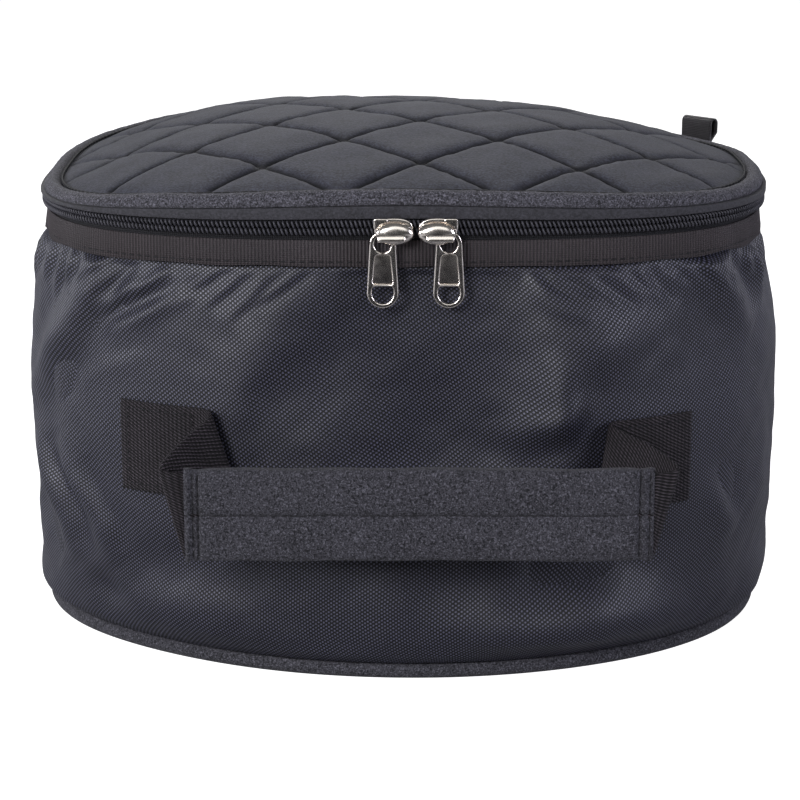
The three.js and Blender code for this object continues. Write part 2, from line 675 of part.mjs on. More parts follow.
// Ribbon folded into a loop: a stem against the band, then a loop standing up outside the border.
function ribbonLoop() {
  const radius = (LOOP_LEG_OUT - LOOP_LEG_IN) / 2;
  const middle = LOOP_LEG_IN + radius;
  const bend = LOOP_TOP - radius;
  const outline = new THREE.Shape();
  outline.moveTo(0, LOOP_STEM);
  outline.lineTo(2 * LOOP_RIBBON, LOOP_STEM);
  outline.lineTo(2 * LOOP_RIBBON + 0.6, LOOP_KNEE);
  outline.lineTo(LOOP_LEG_OUT, LOOP_KNEE + 5);
  outline.lineTo(LOOP_LEG_OUT, bend);
  outline.absarc(middle, bend, radius, 0, Math.PI, false);
  outline.lineTo(LOOP_LEG_IN, LOOP_KNEE + 2.2);
  outline.lineTo(0, LOOP_KNEE);
  const hole = new THREE.Path();
  hole.moveTo(LOOP_LEG_IN + LOOP_RIBBON, LOOP_KNEE + 3);
  hole.lineTo(LOOP_LEG_IN + LOOP_RIBBON, bend);
  hole.absarc(middle, bend, radius - LOOP_RIBBON, Math.PI, 0, true);
  hole.lineTo(LOOP_LEG_OUT - LOOP_RIBBON, LOOP_KNEE + 5.6);
  outline.holes.push(hole);
  const extrusion = { depth: LOOP_WIDTH, bevelEnabled: false, curveSegments: 6 };
  const loop = new THREE.ExtrudeGeometry(outline, extrusion);
  loop.translate(0, 0, -LOOP_WIDTH / 2);
  loop.rotateX(Math.PI / 2);
  return loop;
}

function buildDrum() {
  const drum = new THREE.Group();
  drum.add(
    piece("base_board", baseBoard(), WOVEN),
    piece("base_piping", basePiping(), FELT),
    piece("body_wall", bodyWall(), WOVEN),
    piece("rim_tape", rimRing(slab(TAPE_FACE, TAPE, TAPE_LOW, TAPE_HIGH)), GROSGRAIN),
  );
  return drum;
}

function buildLid() {
  const lid = new THREE.Group();
  const bandThick = ZIP_FACE + GAP - BAND_FACE;
  lid.add(
    piece("lid_panel", lidPanel(), QUILT),
    piece("lid_border", lidBorder(), FELT),
    piece("lid_band", rimRing(slab(BAND_FACE, -bandThick, COIL_HIGH + 0.4, BAND_HIGH)), SMOOTH_TRIM),
  );
  const loop = piece("ribbon_loop", ribbonLoop(), RIBBON);
  const seat = ovalPoint(RIM, radians(LOOP_ANGLE), LOOP_SEAT);
  loop.position.copy(twisted(seat.x, seat.y, LOOP_STEM)).setZ(0);
  loop.rotation.z = radians(LOOP_FACING);
  lid.add(loop);
  return lid;
}

function buildZip() {
  const zip = new THREE.Group();
  zip.add(
    piece("zip_tape_lower", zipTape(WALL_TOP + GAP, COIL_MIDDLE - 0.2), ZIP_FABRIC),
    piece("zip_tape_upper", zipTape(COIL_MIDDLE + 0.2, ZIP_TAPE_HIGH), ZIP_FABRIC),
    piece("zip_coil", zipCoil(), COIL),
    piece("hinge_strip", hingeStrip(), ZIP_FABRIC),
  );
  for (const [name, side] of [["left", -1], ["right", 1]]) {
    const nose = SLIDER_MIDDLE + (side * SLIDER_NOSE_GAP) / 2;
    zip.add(onFront(piece("slider_" + name, zipSlider(), NICKEL), nose, COIL_MIDDLE, side));
    zip.add(onFront(piece("pull_" + name, zipPull(), NICKEL), nose + side * PIN_FROM_NOSE, PIN_Z, 1));
  }
  return zip;
}

function buildHandle() {
  const handle = new THREE.Group();
  handle.add(
    piece("handle_strap", handleStrap(), STRAP_WEB),
    piece("handle_grip", handleGrip(), FELT),
  );
  return handle;
}

const bag = new THREE.Group();
bag.add(buildDrum(), buildLid(), buildZip(), buildHandle());

export default bag;
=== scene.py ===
"""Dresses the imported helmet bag: soft goods, trims, finishes and a plain studio round the fixed CAD frame.

Shapes are worked out in millimetres in the CAD frame (+Z up, the front faces -Y, the origin in the middle of
the base on the floor) and become metres when a mesh is made. A run is a distance round the rim from the front
middle, negative to the left and positive to the right.
"""
from __future__ import annotations

import logging
import math
from dataclasses import dataclass
from enum import Enum
from typing import Sequence

import bpy
import numpy as np
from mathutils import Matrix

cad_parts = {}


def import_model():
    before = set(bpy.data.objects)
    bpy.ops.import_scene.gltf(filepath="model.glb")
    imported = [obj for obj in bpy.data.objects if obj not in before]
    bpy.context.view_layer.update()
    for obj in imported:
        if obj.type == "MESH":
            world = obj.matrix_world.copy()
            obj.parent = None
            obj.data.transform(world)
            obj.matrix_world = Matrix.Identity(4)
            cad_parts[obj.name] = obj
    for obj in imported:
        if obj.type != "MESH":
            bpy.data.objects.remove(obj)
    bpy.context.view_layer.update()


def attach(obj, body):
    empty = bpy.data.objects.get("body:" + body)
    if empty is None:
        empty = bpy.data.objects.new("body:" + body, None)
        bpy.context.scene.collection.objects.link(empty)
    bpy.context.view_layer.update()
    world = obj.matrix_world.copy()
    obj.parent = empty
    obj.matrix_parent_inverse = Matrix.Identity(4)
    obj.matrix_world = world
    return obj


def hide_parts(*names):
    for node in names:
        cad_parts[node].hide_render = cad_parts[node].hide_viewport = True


MM = 0.001
FULL_TURN = 2 * math.pi
CLOTH_UV = "cloth"
# Mesh attribute that marks where shade is painted into the quilted channels.
PAINTED_SHADE_ATTRIBUTE = "painted_channel_shade"
UPWARDS = np.array([0.0, 0.0, 1.0])
FORWARDS = np.array([0.0, -1.0, 0.0])
Colour = tuple[float, float, float]
Span = tuple[float, float]
LOG = logging.getLogger("helmet_bag")


class Body(str, Enum):
    """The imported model's bodies."""

    BAG = "bag"
    PULL_LEFT = "pull_left"
    PULL_RIGHT = "pull_right"


class Side(Enum):
    """Left or right of the zip's middle, as the viewer sees it."""

    LEFT = -1
    RIGHT = 1


def smoothstep(value: np.ndarray | float, low: float, high: float) -> np.ndarray:
    """Rises from 0 at low to 1 at high with level ends."""
    share = np.clip((np.asarray(value, float) - low) / (high - low), 0.0, 1.0)
    return share * share * (3 - 2 * share)


def gaussian(value: np.ndarray) -> np.ndarray:
    """A bell that is 1 at 0 and falls to 1/e at 1."""
    return np.exp(-value * value)


def travelled(line: np.ndarray) -> np.ndarray:
    """Distance travelled from the start of a line to each of its points."""
    return np.concatenate([[0.0], np.cumsum(np.linalg.norm(np.diff(line, axis=0), axis=1))])


def unit(vectors: np.ndarray) -> np.ndarray:
    """The same directions with a length of 1."""
    return vectors / np.linalg.norm(vectors, axis=-1, keepdims=True)


@dataclass(frozen=True)
class Ripple:
    """Smooth seeded unevenness made of a few crossed waves: its height, the width of a bump, and its seed."""

    push: float
    size: float
    seed: int
    waves: int = 14
    spread: Span = (0.7, 1.5)

    def at(self, a: np.ndarray, b: np.ndarray | float = 0.0) -> np.ndarray:
        """Height of the unevenness at each point.

        Args:
            a: First coordinate of each point, in millimetres.
            b: Second coordinate of each point, in millimetres.

        Returns:
            Values of about -push to push, the shape of a and b together.
        """
        draw = np.random.default_rng(self.seed)
        total = np.zeros(np.broadcast(a, b).shape)
        for _ in range(self.waves):
            heading = draw.uniform(0, FULL_TURN)
            pace = math.pi / (self.size * draw.uniform(*self.spread))
            start = draw.uniform(0, FULL_TURN)
            total += np.sin((a * math.cos(heading) + b * math.sin(heading)) * pace + start)
        return self.push * (total / math.sqrt(self.waves * 2))


def eased_table(heights: np.ndarray, knots: np.ndarray, values: np.ndarray) -> np.ndarray:
    """Monotone cubic through a short table, so that a section has no kinks between its rows.

    Args:
        heights: Heights at which a value is wanted.
        knots: Heights of the table's rows, rising.
        values: The table's value in each row.

    Returns:
        One value for each of the heights.
    """
    step = np.diff(knots)
    slope = np.diff(values) / step
    tangent = np.zeros_like(values)
    same = slope[:-1] * slope[1:] > 0
    inner = np.zeros(len(values) - 2)
    inner[same] = 2 * slope[:-1][same] * slope[1:][same] / (slope[:-1] + slope[1:])[same]
    tangent[1:-1] = inner
    tangent[0], tangent[-1] = slope[0], slope[-1]
    cell = np.clip(np.searchsorted(knots, heights) - 1, 0, len(step) - 1)
    t = (heights - knots[cell]) / step[cell]
    rise = values[cell + 1] - values[cell]
    ease = t * t * (3 - 2 * t)
    bend = t * (1 - t) * ((1 - t) * tangent[cell] - t * tangent[cell + 1]) * step[cell]
    return values[cell] + rise * ease + bend


def curve_through(knots: np.ndarray, steps: np.ndarray, closed: bool) -> np.ndarray:
    """Smooth curve that passes through every knot.

    Args:
        knots: Points by coordinates.
        steps: Places along the curve, counted in knots.
        closed: Whether the last knot joins the first.

    Returns:
        The curve's point at each step.
    """
    last = len(knots) - 1
    cell = np.minimum(steps.astype(int), last if closed else last - 1)
    t = (steps - cell)[:, None]
    near = [(cell + k) % len(knots) if closed else np.clip(cell + k, 0, last) for k in (-1, 0, 1, 2)]
    a, b, c, d = (knots[k] for k in near)
    return 0.5 * (2 * b + (c - a) * t + (2 * a - 5 * b + 4 * c - d) * t**2 + (3 * b - a - 3 * c + d) * t**3)


@dataclass(frozen=True)
class Oval:
    """An oval seen from above: half sizes, and how square its front and back halves are."""

    half_width: float
    half_depth: float
    front: float
    back: float

    def at(self, angle: np.ndarray, offset: np.ndarray | float = 0.0) -> tuple[np.ndarray, np.ndarray]:
        """Points on the oval, or beside it.

        Args:
            angle: Direction of each point from the middle.
            offset: How far each point is pushed outwards along the oval's normal.

        Returns:
            X and Y of each point.
        """
        cos, sin = np.cos(angle), np.sin(angle)
        power = np.where(sin < 0, self.front, self.back)
        across, along = np.abs(cos) / self.half_width, np.abs(sin) / self.half_depth
        reach = (across**power + along**power) ** (-1 / power)
        nx = np.sign(cos) * (reach * across) ** (power - 1) / self.half_width
        ny = np.sign(sin) * (reach * along) ** (power - 1) / self.half_depth
        size = np.hypot(nx, ny)
        return reach * cos + offset * nx / size, reach * sin + offset * ny / size

    def share(self, x: np.ndarray, y: np.ndarray, inset: float) -> np.ndarray:
        """How far out each point lies in an oval that is smaller all round.

        Args:
            x: X of each point.
            y: Y of each point.
            inset: How much smaller the oval is taken to be.

        Returns:
            0 in the middle, and 1 on the oval.
        """
        power = np.where(y < 0, self.front, self.back)
        across = np.abs(x) / (self.half_width - inset)
        along = np.abs(y) / (self.half_depth - inset)
        return (across**power + along**power) ** (1 / power)


RIM = Oval(157, 138, 3.15, 2.4)
BASE = Oval(161, 140, 2.05, 2.35)


class RimPath:
    """The rim oval with its length, so that ribs, teeth and stitches are spaced evenly round it."""

    def __init__(self, oval: Oval, samples: int = 5760) -> None:
        """Measures the oval from the back, round the left, the front and the right.

        Args:
            oval: The oval to measure.
            samples: How many short steps it is measured in.
        """
        self.angles = np.linspace(-1.5 * math.pi, 0.5 * math.pi, samples + 1)
        x, y = oval.at(self.angles)
        length = np.concatenate([[0.0], np.cumsum(np.hypot(np.diff(x), np.diff(y)))])
        self.runs = length - np.interp(-0.5 * math.pi, self.angles, length)
        self.length = float(length[-1])

    def angle(self, run: np.ndarray) -> np.ndarray:
        """Angle of the oval at each run."""
        return np.interp(run, self.runs, self.angles)

    def run(self, degrees: float) -> float:
        """Run at an angle in degrees, from -270 at the back round the front to 90."""
        return float(np.interp(math.radians(degrees), self.angles, self.runs))

    def around(self, columns: int) -> np.ndarray:
        """Evenly spaced runs all the way round, with the join at the back."""
        return np.linspace(-self.length / 2, self.length / 2, columns, endpoint=False)


PATH = RimPath(RIM)
SWELL_WIDTHS = (105.0, 154.0)


@dataclass(frozen=True)
class Stance:
    """How the bag stands out of true: its lid bowed and sunk, its foot turned and its back slewed.

    A pair says between which two depths or heights a change sets in.
    """

    arch: float = 2.0
    arch_half_width: float = 60.0
    arch_depths: Span = (60.0, RIM.half_depth)
    arch_heights: Span = (185.0, 196.9)
    side_sag: float = 3.4
    side_sag_widths: Span = (50.0, RIM.half_width)
    left_sag: float = 3.2
    left_sag_widths: Span = (90.0, RIM.half_width)
    sag_heights: Span = (189.5, 201.8)
    back_lean: float = 0.02
    lean_depths: Span = (-40.0, 110.0)
    lean_heights: Span = (192.0, 201.8)
    foot_turn: float = -3.6
    turn_heights: Span = (6.8, 70.0)
    back_slew: float = 0.07
    slew_depths: Span = (0.0, 90.0)
    slew_heights: Span = (112.0, 174.2)

    def lift(self, x: np.ndarray, y: np.ndarray, z: np.ndarray) -> np.ndarray:
        """How far the lid is bowed up at its front, less how far it sinks at its sides and leans at its back.

        Args:
            x: X of each point of the level lid.
            y: Y of each point.
            z: Z of each point.

        Returns:
            What each Z gains.
        """
        arch = self.arch * gaussian(x / self.arch_half_width) * smoothstep(-y, *self.arch_depths)
        sag = self.side_sag * smoothstep(np.abs(x), *self.side_sag_widths)
        sag = sag + self.left_sag * smoothstep(-x, *self.left_sag_widths)
        lean = self.back_lean * x * smoothstep(y, *self.lean_depths) * smoothstep(z, *self.lean_heights)
        return arch * smoothstep(z, *self.arch_heights) - sag * smoothstep(z, *self.sag_heights) - lean

    def twisted(self, x: np.ndarray, y: np.ndarray, z: np.ndarray) -> np.ndarray:
        """Points of the true bag, whose foot is turned and whose back is slewed.

        Args:
            x: X of each point of the straight bag.
            y: Y of each point.
            z: Z of each point.

        Returns:
            X, Y and Z of each point, along a new last axis.
        """
        turn = math.radians(self.foot_turn) * (1 - smoothstep(z, *self.turn_heights))
        slewed = y - self.back_slew * x * smoothstep(y, *self.slew_depths) * smoothstep(z, *self.slew_heights)
        cos, sin = np.cos(turn), np.sin(turn)
        return np.stack([x * cos - slewed * sin, x * sin + slewed * cos, z], -1)

    def level_ring(self, x: np.ndarray, y: np.ndarray, z: float) -> np.ndarray:
        """Points of the true bag for a ring that is level in the straight one."""
        return self.twisted(x, y, np.full_like(x, z))


STANCE = Stance()


def side_swell(runs: np.ndarray | float) -> np.ndarray:
    """How near each run is to the rim's left or right end: 0 along the front and back, 1 at the ends."""
    x, _ = RIM.at(PATH.angle(runs))
    return smoothstep(np.abs(x), *SWELL_WIDTHS)


def signed_volume(points: np.ndarray, quads: np.ndarray) -> float:
    """Volume that the quads enclose, negative when they face inwards."""
    a, b, c, d = (points[quads[:, k]] for k in range(4))
    return float(np.einsum("ij,ij->i", a, np.cross(b, c) + np.cross(c, d)).sum())


def newell(outline: np.ndarray) -> np.ndarray:
    """Direction that a closed outline faces."""
    return np.cross(outline, np.roll(outline, -1, 0)).sum(0)


def mesh_object(
    name: str, points: np.ndarray, faces: Sequence[Sequence[int]], uv: np.ndarray | None = None
) -> bpy.types.Object:
    """Makes a linked mesh object with smooth shading.

    Args:
        name: Name of the object and its mesh.
        points: Vertex places in millimetres.
        faces: Vertex numbers of each face.
        uv: One pair of millimetres for every corner of every face, in order.

    Returns:
        The new object, in metres.
    """
    mesh = bpy.data.meshes.new(name)
    mesh.from_pydata((np.asarray(points) * MM).tolist(), [], list(faces))
    mesh.polygons.foreach_set("use_smooth", [True] * len(mesh.polygons))
    if uv is not None:
        layer = mesh.uv_layers.new(name=CLOTH_UV)
        layer.data.foreach_set("uv", np.asarray(uv, np.float32).ravel())
    mesh.update()
    made = bpy.data.objects.new(name, mesh)
    bpy.context.collection.objects.link(made)
    return made


class Parcel:
    """Several shapes gathered into one mesh."""

    def __init__(self) -> None:
        """Starts empty."""
        self.points: list[np.ndarray] = []
        self.faces: list[list[int]] = []
        self.count = 0

    def add(self, points: np.ndarray, faces: Sequence[Sequence[int]]) -> None:
        """Adds a shape.

        Args:
            points: Its points in millimetres.
            faces: Its faces, which count its points from 0.
        """
        self.faces += [[self.count + number for number in face] for face in faces]
        self.points.append(points)
        self.count += len(points)

    def made(self, name: str) -> bpy.types.Object:
        """One object of all the shapes."""
        return mesh_object(name, np.concatenate(self.points), self.faces)


def swept_faces(
    rings: np.ndarray, closed: bool, along: np.ndarray | None = None
) -> tuple[np.ndarray, np.ndarray]:
    """Quads between the rings of a sweep, facing out.

    Args:
        rings: Points in millimetres, as columns, points of the closed profile, and X, Y, Z.
        closed: Whether the last ring joins the first.
        along: Cloth coordinate of each ring. Distances between the rings are used without it.

    Returns:
        Vertex numbers of each quad, and the cloth coordinates of its corners in millimetres.
    """
    columns, profile, _ = rings.shape
    spans = columns if closed else columns - 1
    col = np.arange(spans)[:, None]
    row = np.arange(profile)[None, :]
    next_col, next_row = (col + 1) % columns, (row + 1) % profile
    corners = [(col, row), (next_col, row), (next_col, next_row), (col, next_row)]
    numbers = [np.broadcast_to(c * profile + r, (spans, profile)) for c, r in corners]
    quads = np.stack(numbers, -1).reshape(-1, 4)
    if along is None:
        middle = rings.mean(axis=1)
        u = travelled(np.vstack([middle, middle[:1]]))
    else:
        u = np.append(along, 2 * along[-1] - along[-2])
    outline = rings[columns // 2]
    v = travelled(np.vstack([outline, outline[:1]]))
    places = [(col, row), (col + 1, row), (col + 1, row + 1), (col, row + 1)]
    pairs = [np.stack(np.broadcast_arrays(u[c], v[r]), -1) for c, r in places]
    uv = np.stack(pairs, 2).reshape(-1, 4, 2)
    if signed_volume(rings.reshape(-1, 3), quads) < 0:
        quads, uv = quads[:, ::-1], uv[:, ::-1]
    return quads, uv


def end_rings(rings: np.ndarray) -> tuple[list[int], list[int]]:
    """Vertex numbers of the first and the last ring of a sweep."""
    columns, profile, _ = rings.shape
    return list(range(profile)), list(range((columns - 1) * profile, columns * profile))


def swept_object(
    name: str, rings: np.ndarray, closed: bool, along: np.ndarray | None = None
) -> bpy.types.Object:
    """A closed body through rings of points: joined end to end, or capped at both ends.

    Args:
        name: Name of the object.
        rings: Points in millimetres, as columns, points of the closed profile, and X, Y, Z.
        closed: Whether the last ring joins the first.
        along: Cloth coordinate of each ring, where it isn't the distance between them.

    Returns:
        The new object.
    """
    quads, uv = swept_faces(rings, closed, along)
    faces = quads.tolist()
    corners = uv.reshape(-1, 2)
    if not closed:
        first, last = end_rings(rings)
        middle = rings.mean(axis=1)
        faces.append(first if np.dot(newell(rings[0]), middle[1] - middle[0]) < 0 else first[::-1])
        faces.append(last if np.dot(newell(rings[-1]), middle[-1] - middle[-2]) > 0 else last[::-1])
        corners = np.vstack([corners, np.zeros((len(first) + len(last), 2))])
    return mesh_object(name, rings.reshape(-1, 3), faces, corners)


def rim_rings(runs: np.ndarray, profile: np.ndarray) -> np.ndarray:
    """Rings of points that stand at each run of the rim.

    Args:
        runs: Distances round the rim.
        profile: Offsets out of the rim and heights, as points by 2, or as columns by points by 2.

    Returns:
        Points in millimetres, as columns, profile points, and X, Y, Z.
    """
    profile = np.broadcast_to(profile, (len(runs),) + profile.shape[-2:])
    angle = np.repeat(PATH.angle(runs)[:, None], profile.shape[1], axis=1)
    x, y = RIM.at(angle, profile[..., 0])
    z = profile[..., 1]
    return STANCE.twisted(x, y, z + STANCE.lift(x, y, z))


def rounded_slab(
    face: float, back: float, low: float, high: float, round_by: float, steps: int = 3
) -> np.ndarray:
    """Profile of a flat band with round corners.

    Args:
        face: Offset of its outer face from the rim.
        back: Offset of its inner face.
        low: Height of its lower edge.
        high: Height of its upper edge.
        round_by: Radius of its corners.
        steps: Points on each corner.

    Returns:
        Offsets and heights.
    """
    points = []
    corners = [(face, low, 1, -1), (face, high, 1, 1), (back, high, -1, 1), (back, low, -1, -1)]
    for k, (offset, height, out, up) in enumerate(corners):
        middle = np.array([offset - out * round_by, height - up * round_by])
        start = -0.5 * math.pi + k * 0.5 * math.pi
        for step in np.linspace(0, 0.5 * math.pi, steps):
            points.append(middle + round_by * np.array([math.cos(start + step), math.sin(start + step)]))
    return np.array(points)


class Sock:
    """A shader socket that takes part in Python arithmetic: every operator adds a Math node."""

    def __init__(self, book: NodeBook, socket: bpy.types.NodeSocket | None) -> None:
        """Wraps one output socket of a node, or none where the node ends its tree."""
        self.book = book
        self.socket = socket

    def _math(self, operation: str, *values: Sock | float) -> Sock:
        """Adds a Math node that works on these values in order."""
        return self.book.node("ShaderNodeMath", {"operation": operation}, dict(enumerate(values)))

    def __add__(self, other: Sock | float) -> Sock:
        """Sum."""
        return self._math("ADD", self, other)

    def __sub__(self, other: Sock | float) -> Sock:
        """Difference."""
        return self._math("SUBTRACT", self, other)

    def __rsub__(self, other: float) -> Sock:
        """Difference from a number."""
        return self._math("SUBTRACT", other, self)

    def __mul__(self, other: Sock | float) -> Sock:
        """Product."""
        return self._math("MULTIPLY", self, other)

    def cos(self) -> Sock:
        """Cosine."""
        return self._math("COSINE", self)

    def clipped(self) -> Sock:
        """Held between 0 and 1."""
        return self.book.node("ShaderNodeClamp", {}, {"Value": self})

    def between(self, low: float, high: float) -> Sock:
        """Rises smoothly from 0 at low to 1 at high."""
        inputs = {"Value": self, "From Min": low, "From Max": high}
        return self.book.node("ShaderNodeMapRange", {"interpolation_type": "SMOOTHSTEP"}, inputs)


class NodeBook:
    """The nodes of one material, or of the world."""

    def __init__(self, owner: bpy.types.Material | bpy.types.World) -> None:
        """Empties the node tree.

        Args:
            owner: What the nodes belong to.
        """
        owner.use_nodes = True
        self.tree = owner.node_tree
        self.tree.nodes.clear()

    def node(
        self,
        kind: str,
        settings: dict[str, object],
        inputs: dict[int | str, Sock | float | Sequence[float]],
        output: int | str = 0,
    ) -> Sock:
        """Adds a node.

        Args:
            kind: The node's type.
            settings: The node's own properties, set first.
            inputs: Values or links of its sockets, by name or number.
            output: Which of its outputs is wanted.

        Returns:
            The wanted output.
        """
        made = self.tree.nodes.new(kind)
        for key, value in settings.items():
            setattr(made, key, value)
        for key, value in inputs.items():
            if isinstance(value, Sock):
                self.tree.links.new(value.socket, made.inputs[key])
            else:
                made.inputs[key].default_value = value
        return Sock(self, made.outputs[output] if made.outputs else None)

    def axis(self, place: Sock, name: str) -> Sock:
        """One coordinate of a place."""
        return self.node("ShaderNodeSeparateXYZ", {}, {"Vector": place}, name)

    def cloth(self) -> tuple[Sock, Sock]:
        """Millimetres along and across the cloth."""
        both = self.node("ShaderNodeUVMap", {"uv_map": CLOTH_UV}, {})
        return self.axis(both, "X"), self.axis(both, "Y")

    def place(self, system: str) -> Sock:
        """Where the surface is, in one of the systems of coordinates."""
        return self.node("ShaderNodeTexCoord", {}, {}, system)

    def ray(self, kind: str) -> Sock:
        """1 where the ray is of this kind, and 0 elsewhere."""
        return self.node("ShaderNodeLightPath", {}, {}, kind)

    def noise(self, size: float, detail: float = 2.0, rough: float = 0.5) -> Sock:
        """Cloudy values.

        Args:
            size: Size of a cloud in millimetres.
            detail: How many finer layers of clouds are added.
            rough: How strong the finer layers are.

        Returns:
            Values of 0 to 1.
        """
        scale = {"Scale": 1 / (size * MM), "Detail": detail, "Roughness": rough}
        return self.node("ShaderNodeTexNoise", {}, {"Vector": self.place("Object"), **scale})

    def painted_channel_shade(self) -> Sock:
        """How far stitching draws the cloth into its channels, from 0 to 1: the mask for shade painted into
        them.
        """
        return self.node("ShaderNodeAttribute", {"attribute_name": PAINTED_SHADE_ATTRIBUTE}, {}, "Fac")

    def mix(self, share: Sock, start: Sock | Colour, end: Sock | Colour) -> Sock:
        """A colour that goes from one to another.

        Args:
            share: How far it has gone, from 0 to 1.
            start: The colour at 0.
            end: The colour at 1.

        Returns:
            The mixed colour.
        """
        first, last = (value if isinstance(value, Sock) else (*value, 1.0) for value in (start, end))
        return self.node("ShaderNodeMix", {"data_type": "RGBA"}, {0: share, 6: first, 7: last}, 2)

    def bump(self, height: Sock, depth: float) -> Sock:
        """Normals of a relief whose height of 1 is this many millimetres."""
        return self.node("ShaderNodeBump", {}, {"Height": height, "Distance": depth * MM, "Strength": 1.0})

    def surface(self, inputs: dict[str, Sock | float | Sequence[float]]) -> None:
        """Ends the material in a Principled surface."""
        shader = self.node("ShaderNodeBsdfPrincipled", {}, inputs)
        self.node("ShaderNodeOutputMaterial", {}, {"Surface": shader})


@dataclass(frozen=True)
class Finish:
    """A surface finish: its name, the record's material slot, and the two tones of its texture."""

    name: str
    slot: str
    dark: Colour
    light: Colour
    rough: float

    def material(self) -> bpy.types.Material:
        """The finish as a Blender material, made once.

        Returns:
            The material.
        """
        found = bpy.data.materials.get(self.name)
        if found:
            return found
        made = bpy.data.materials.new(self.name)
        book = NodeBook(made)
        book.surface(self.paint(book))
        return made

    def paint(self, book: NodeBook) -> dict[str, object]:
        """Inputs of the surface, by name. Each kind of finish has its own."""
        raise NotImplementedError

    def dress(self, piece: bpy.types.Object) -> None:
        """Puts the finish on a piece.

        Args:
            piece: The piece to dress.
        """
        piece.data.materials.clear()
        piece.data.materials.append(self.material())


@dataclass(frozen=True)
class WovenCloth(Finish):
    """Coarse bag cloth: lozenges of thread in staggered rows, with a satin gleam."""

    pitch: float = 2.2
    row: float = 1.7
    skew: float = 0.18
    relief: float = 0.14
    drift_size: float = 16.0
    drift_across: float = 1.6
    waves: tuple[float, float, float] = (0.5, 0.42, 0.22)
    thread_edge: Span = (-0.15, 0.85)
    wear_sizes: Span = (1.3, 40.0)
    ground_rough: float = 0.62
    gleam_ior: float = 1.75
    gleam_tint: Colour = (0.9, 0.9, 1.0)

    def paint(self, book: NodeBook) -> dict[str, object]:
        """Threads that gleam on a dull ground.

        Args:
            book: The material's nodes.

        Returns:
            Inputs of the surface, by name.
        """
        u, v = book.cloth()
        drift = book.noise(self.drift_size, 1) - 0.5
        across = (u + v * self.skew + drift * self.drift_across) * (FULL_TURN / self.pitch)
        along = (v + drift) * (FULL_TURN / self.row)
        falling, rising, upright = self.waves
        dots = (across - along).cos() * falling + (across + along).cos() * rising
        dots = dots + (across * 2).cos() * upright
        thread = dots.between(*self.thread_edge)
        fine, broad = (book.noise(size, 2) for size in self.wear_sizes)
        wear = fine * 0.7 + broad * 0.5
        return {
            "Base Color": book.mix((thread * (wear + 0.35)).clipped(), self.dark, self.light),
            "Roughness": self.ground_rough,
            "Normal": book.bump(dots, self.relief),
            "Specular IOR Level": 0.3,
            "Coat Weight": (thread * (wear * 0.6 + 0.4) + 0.1).clipped(),
            "Coat Roughness": self.rough,
            "Coat IOR": self.gleam_ior,
            "Coat Tint": (*self.gleam_tint, 1.0),
        }


@dataclass(frozen=True)
class FeltCloth(Finish):
    """Brushed felt: matt, with light and dark fibres mixed in."""

    fibre: float = 0.66
    relief: float = 0.25
    fibre_edge: Span = (0.36, 0.66)
    fleck_edge: Span = (0.56, 0.68)
    pore_edge: Span = (0.46, 0.36)
    worn_size: float = 26.0

    def paint(self, book: NodeBook) -> dict[str, object]:
        """Fibres, pale flecks and dark pores.

        Args:
            book: The material's nodes.

        Returns:
            Inputs of the surface, by name.
        """
        fine = book.noise(self.fibre, 2, 0.7)
        flecks = book.noise(self.fibre * 1.2, 1).between(*self.fleck_edge)
        pores = book.noise(self.fibre * 1.7, 1).between(*self.pore_edge)
        worn = book.noise(self.worn_size, 2)
        tone = fine.between(*self.fibre_edge) * 0.4 + worn * 0.16 + flecks * 0.5 - pores * 0.2
        return {
            "Base Color": book.mix(tone.clipped(), self.dark, self.light),
            "Roughness": self.rough,
            "Normal": book.bump(fine + flecks * 0.4, self.relief),
            "Specular IOR Level": 0.25,
            "Sheen Weight": 0.05,
            "Sheen Roughness": 0.5,
        }


@dataclass(frozen=True)
class HeatheredCloth(Finish):
    """Fine soft-faced cloth with a heathered grain, for the padded lid and its band."""

    grain: float = 1.0
    relief: float = 0.25
    grain_edge: Span = (0.36, 0.66)
    fleck_edge: Span = (0.55, 0.7)
    cloud_size: float = 9.0
    channel_shade_edge: Span = (0.32, 0.82)
    channel_painted_shade: float = 0.94

    def paint(self, book: NodeBook) -> dict[str, object]:
        """Grain and clouds, with shade painted into the quilted channels.

        Args:
            book: The material's nodes.

        Returns:
            Inputs of the surface, by name.
        """
        fine = book.noise(self.grain, 2, 0.65)
        flecks = book.noise(self.grain * 1.5, 1).between(*self.fleck_edge)
        cloud = book.noise(self.cloud_size, 4, 0.65)
        tone = fine.between(*self.grain_edge) * 0.34 + cloud * 0.5 + flecks * 0.16 - 0.08
        # Painted shade: the cloth goes nearly black where the quilting draws it into a channel.
        tone = tone * (1 - book.painted_channel_shade().between(*self.channel_shade_edge) * self.channel_painted_shade)
        return {
            "Base Color": book.mix(tone.clipped(), self.dark, self.light),
            "Roughness": self.rough,
            "Normal": book.bump(fine, self.relief),
            "Specular IOR Level": 0.3,
            "Sheen Weight": 0.05,
            "Sheen Roughness": 0.5,
        }


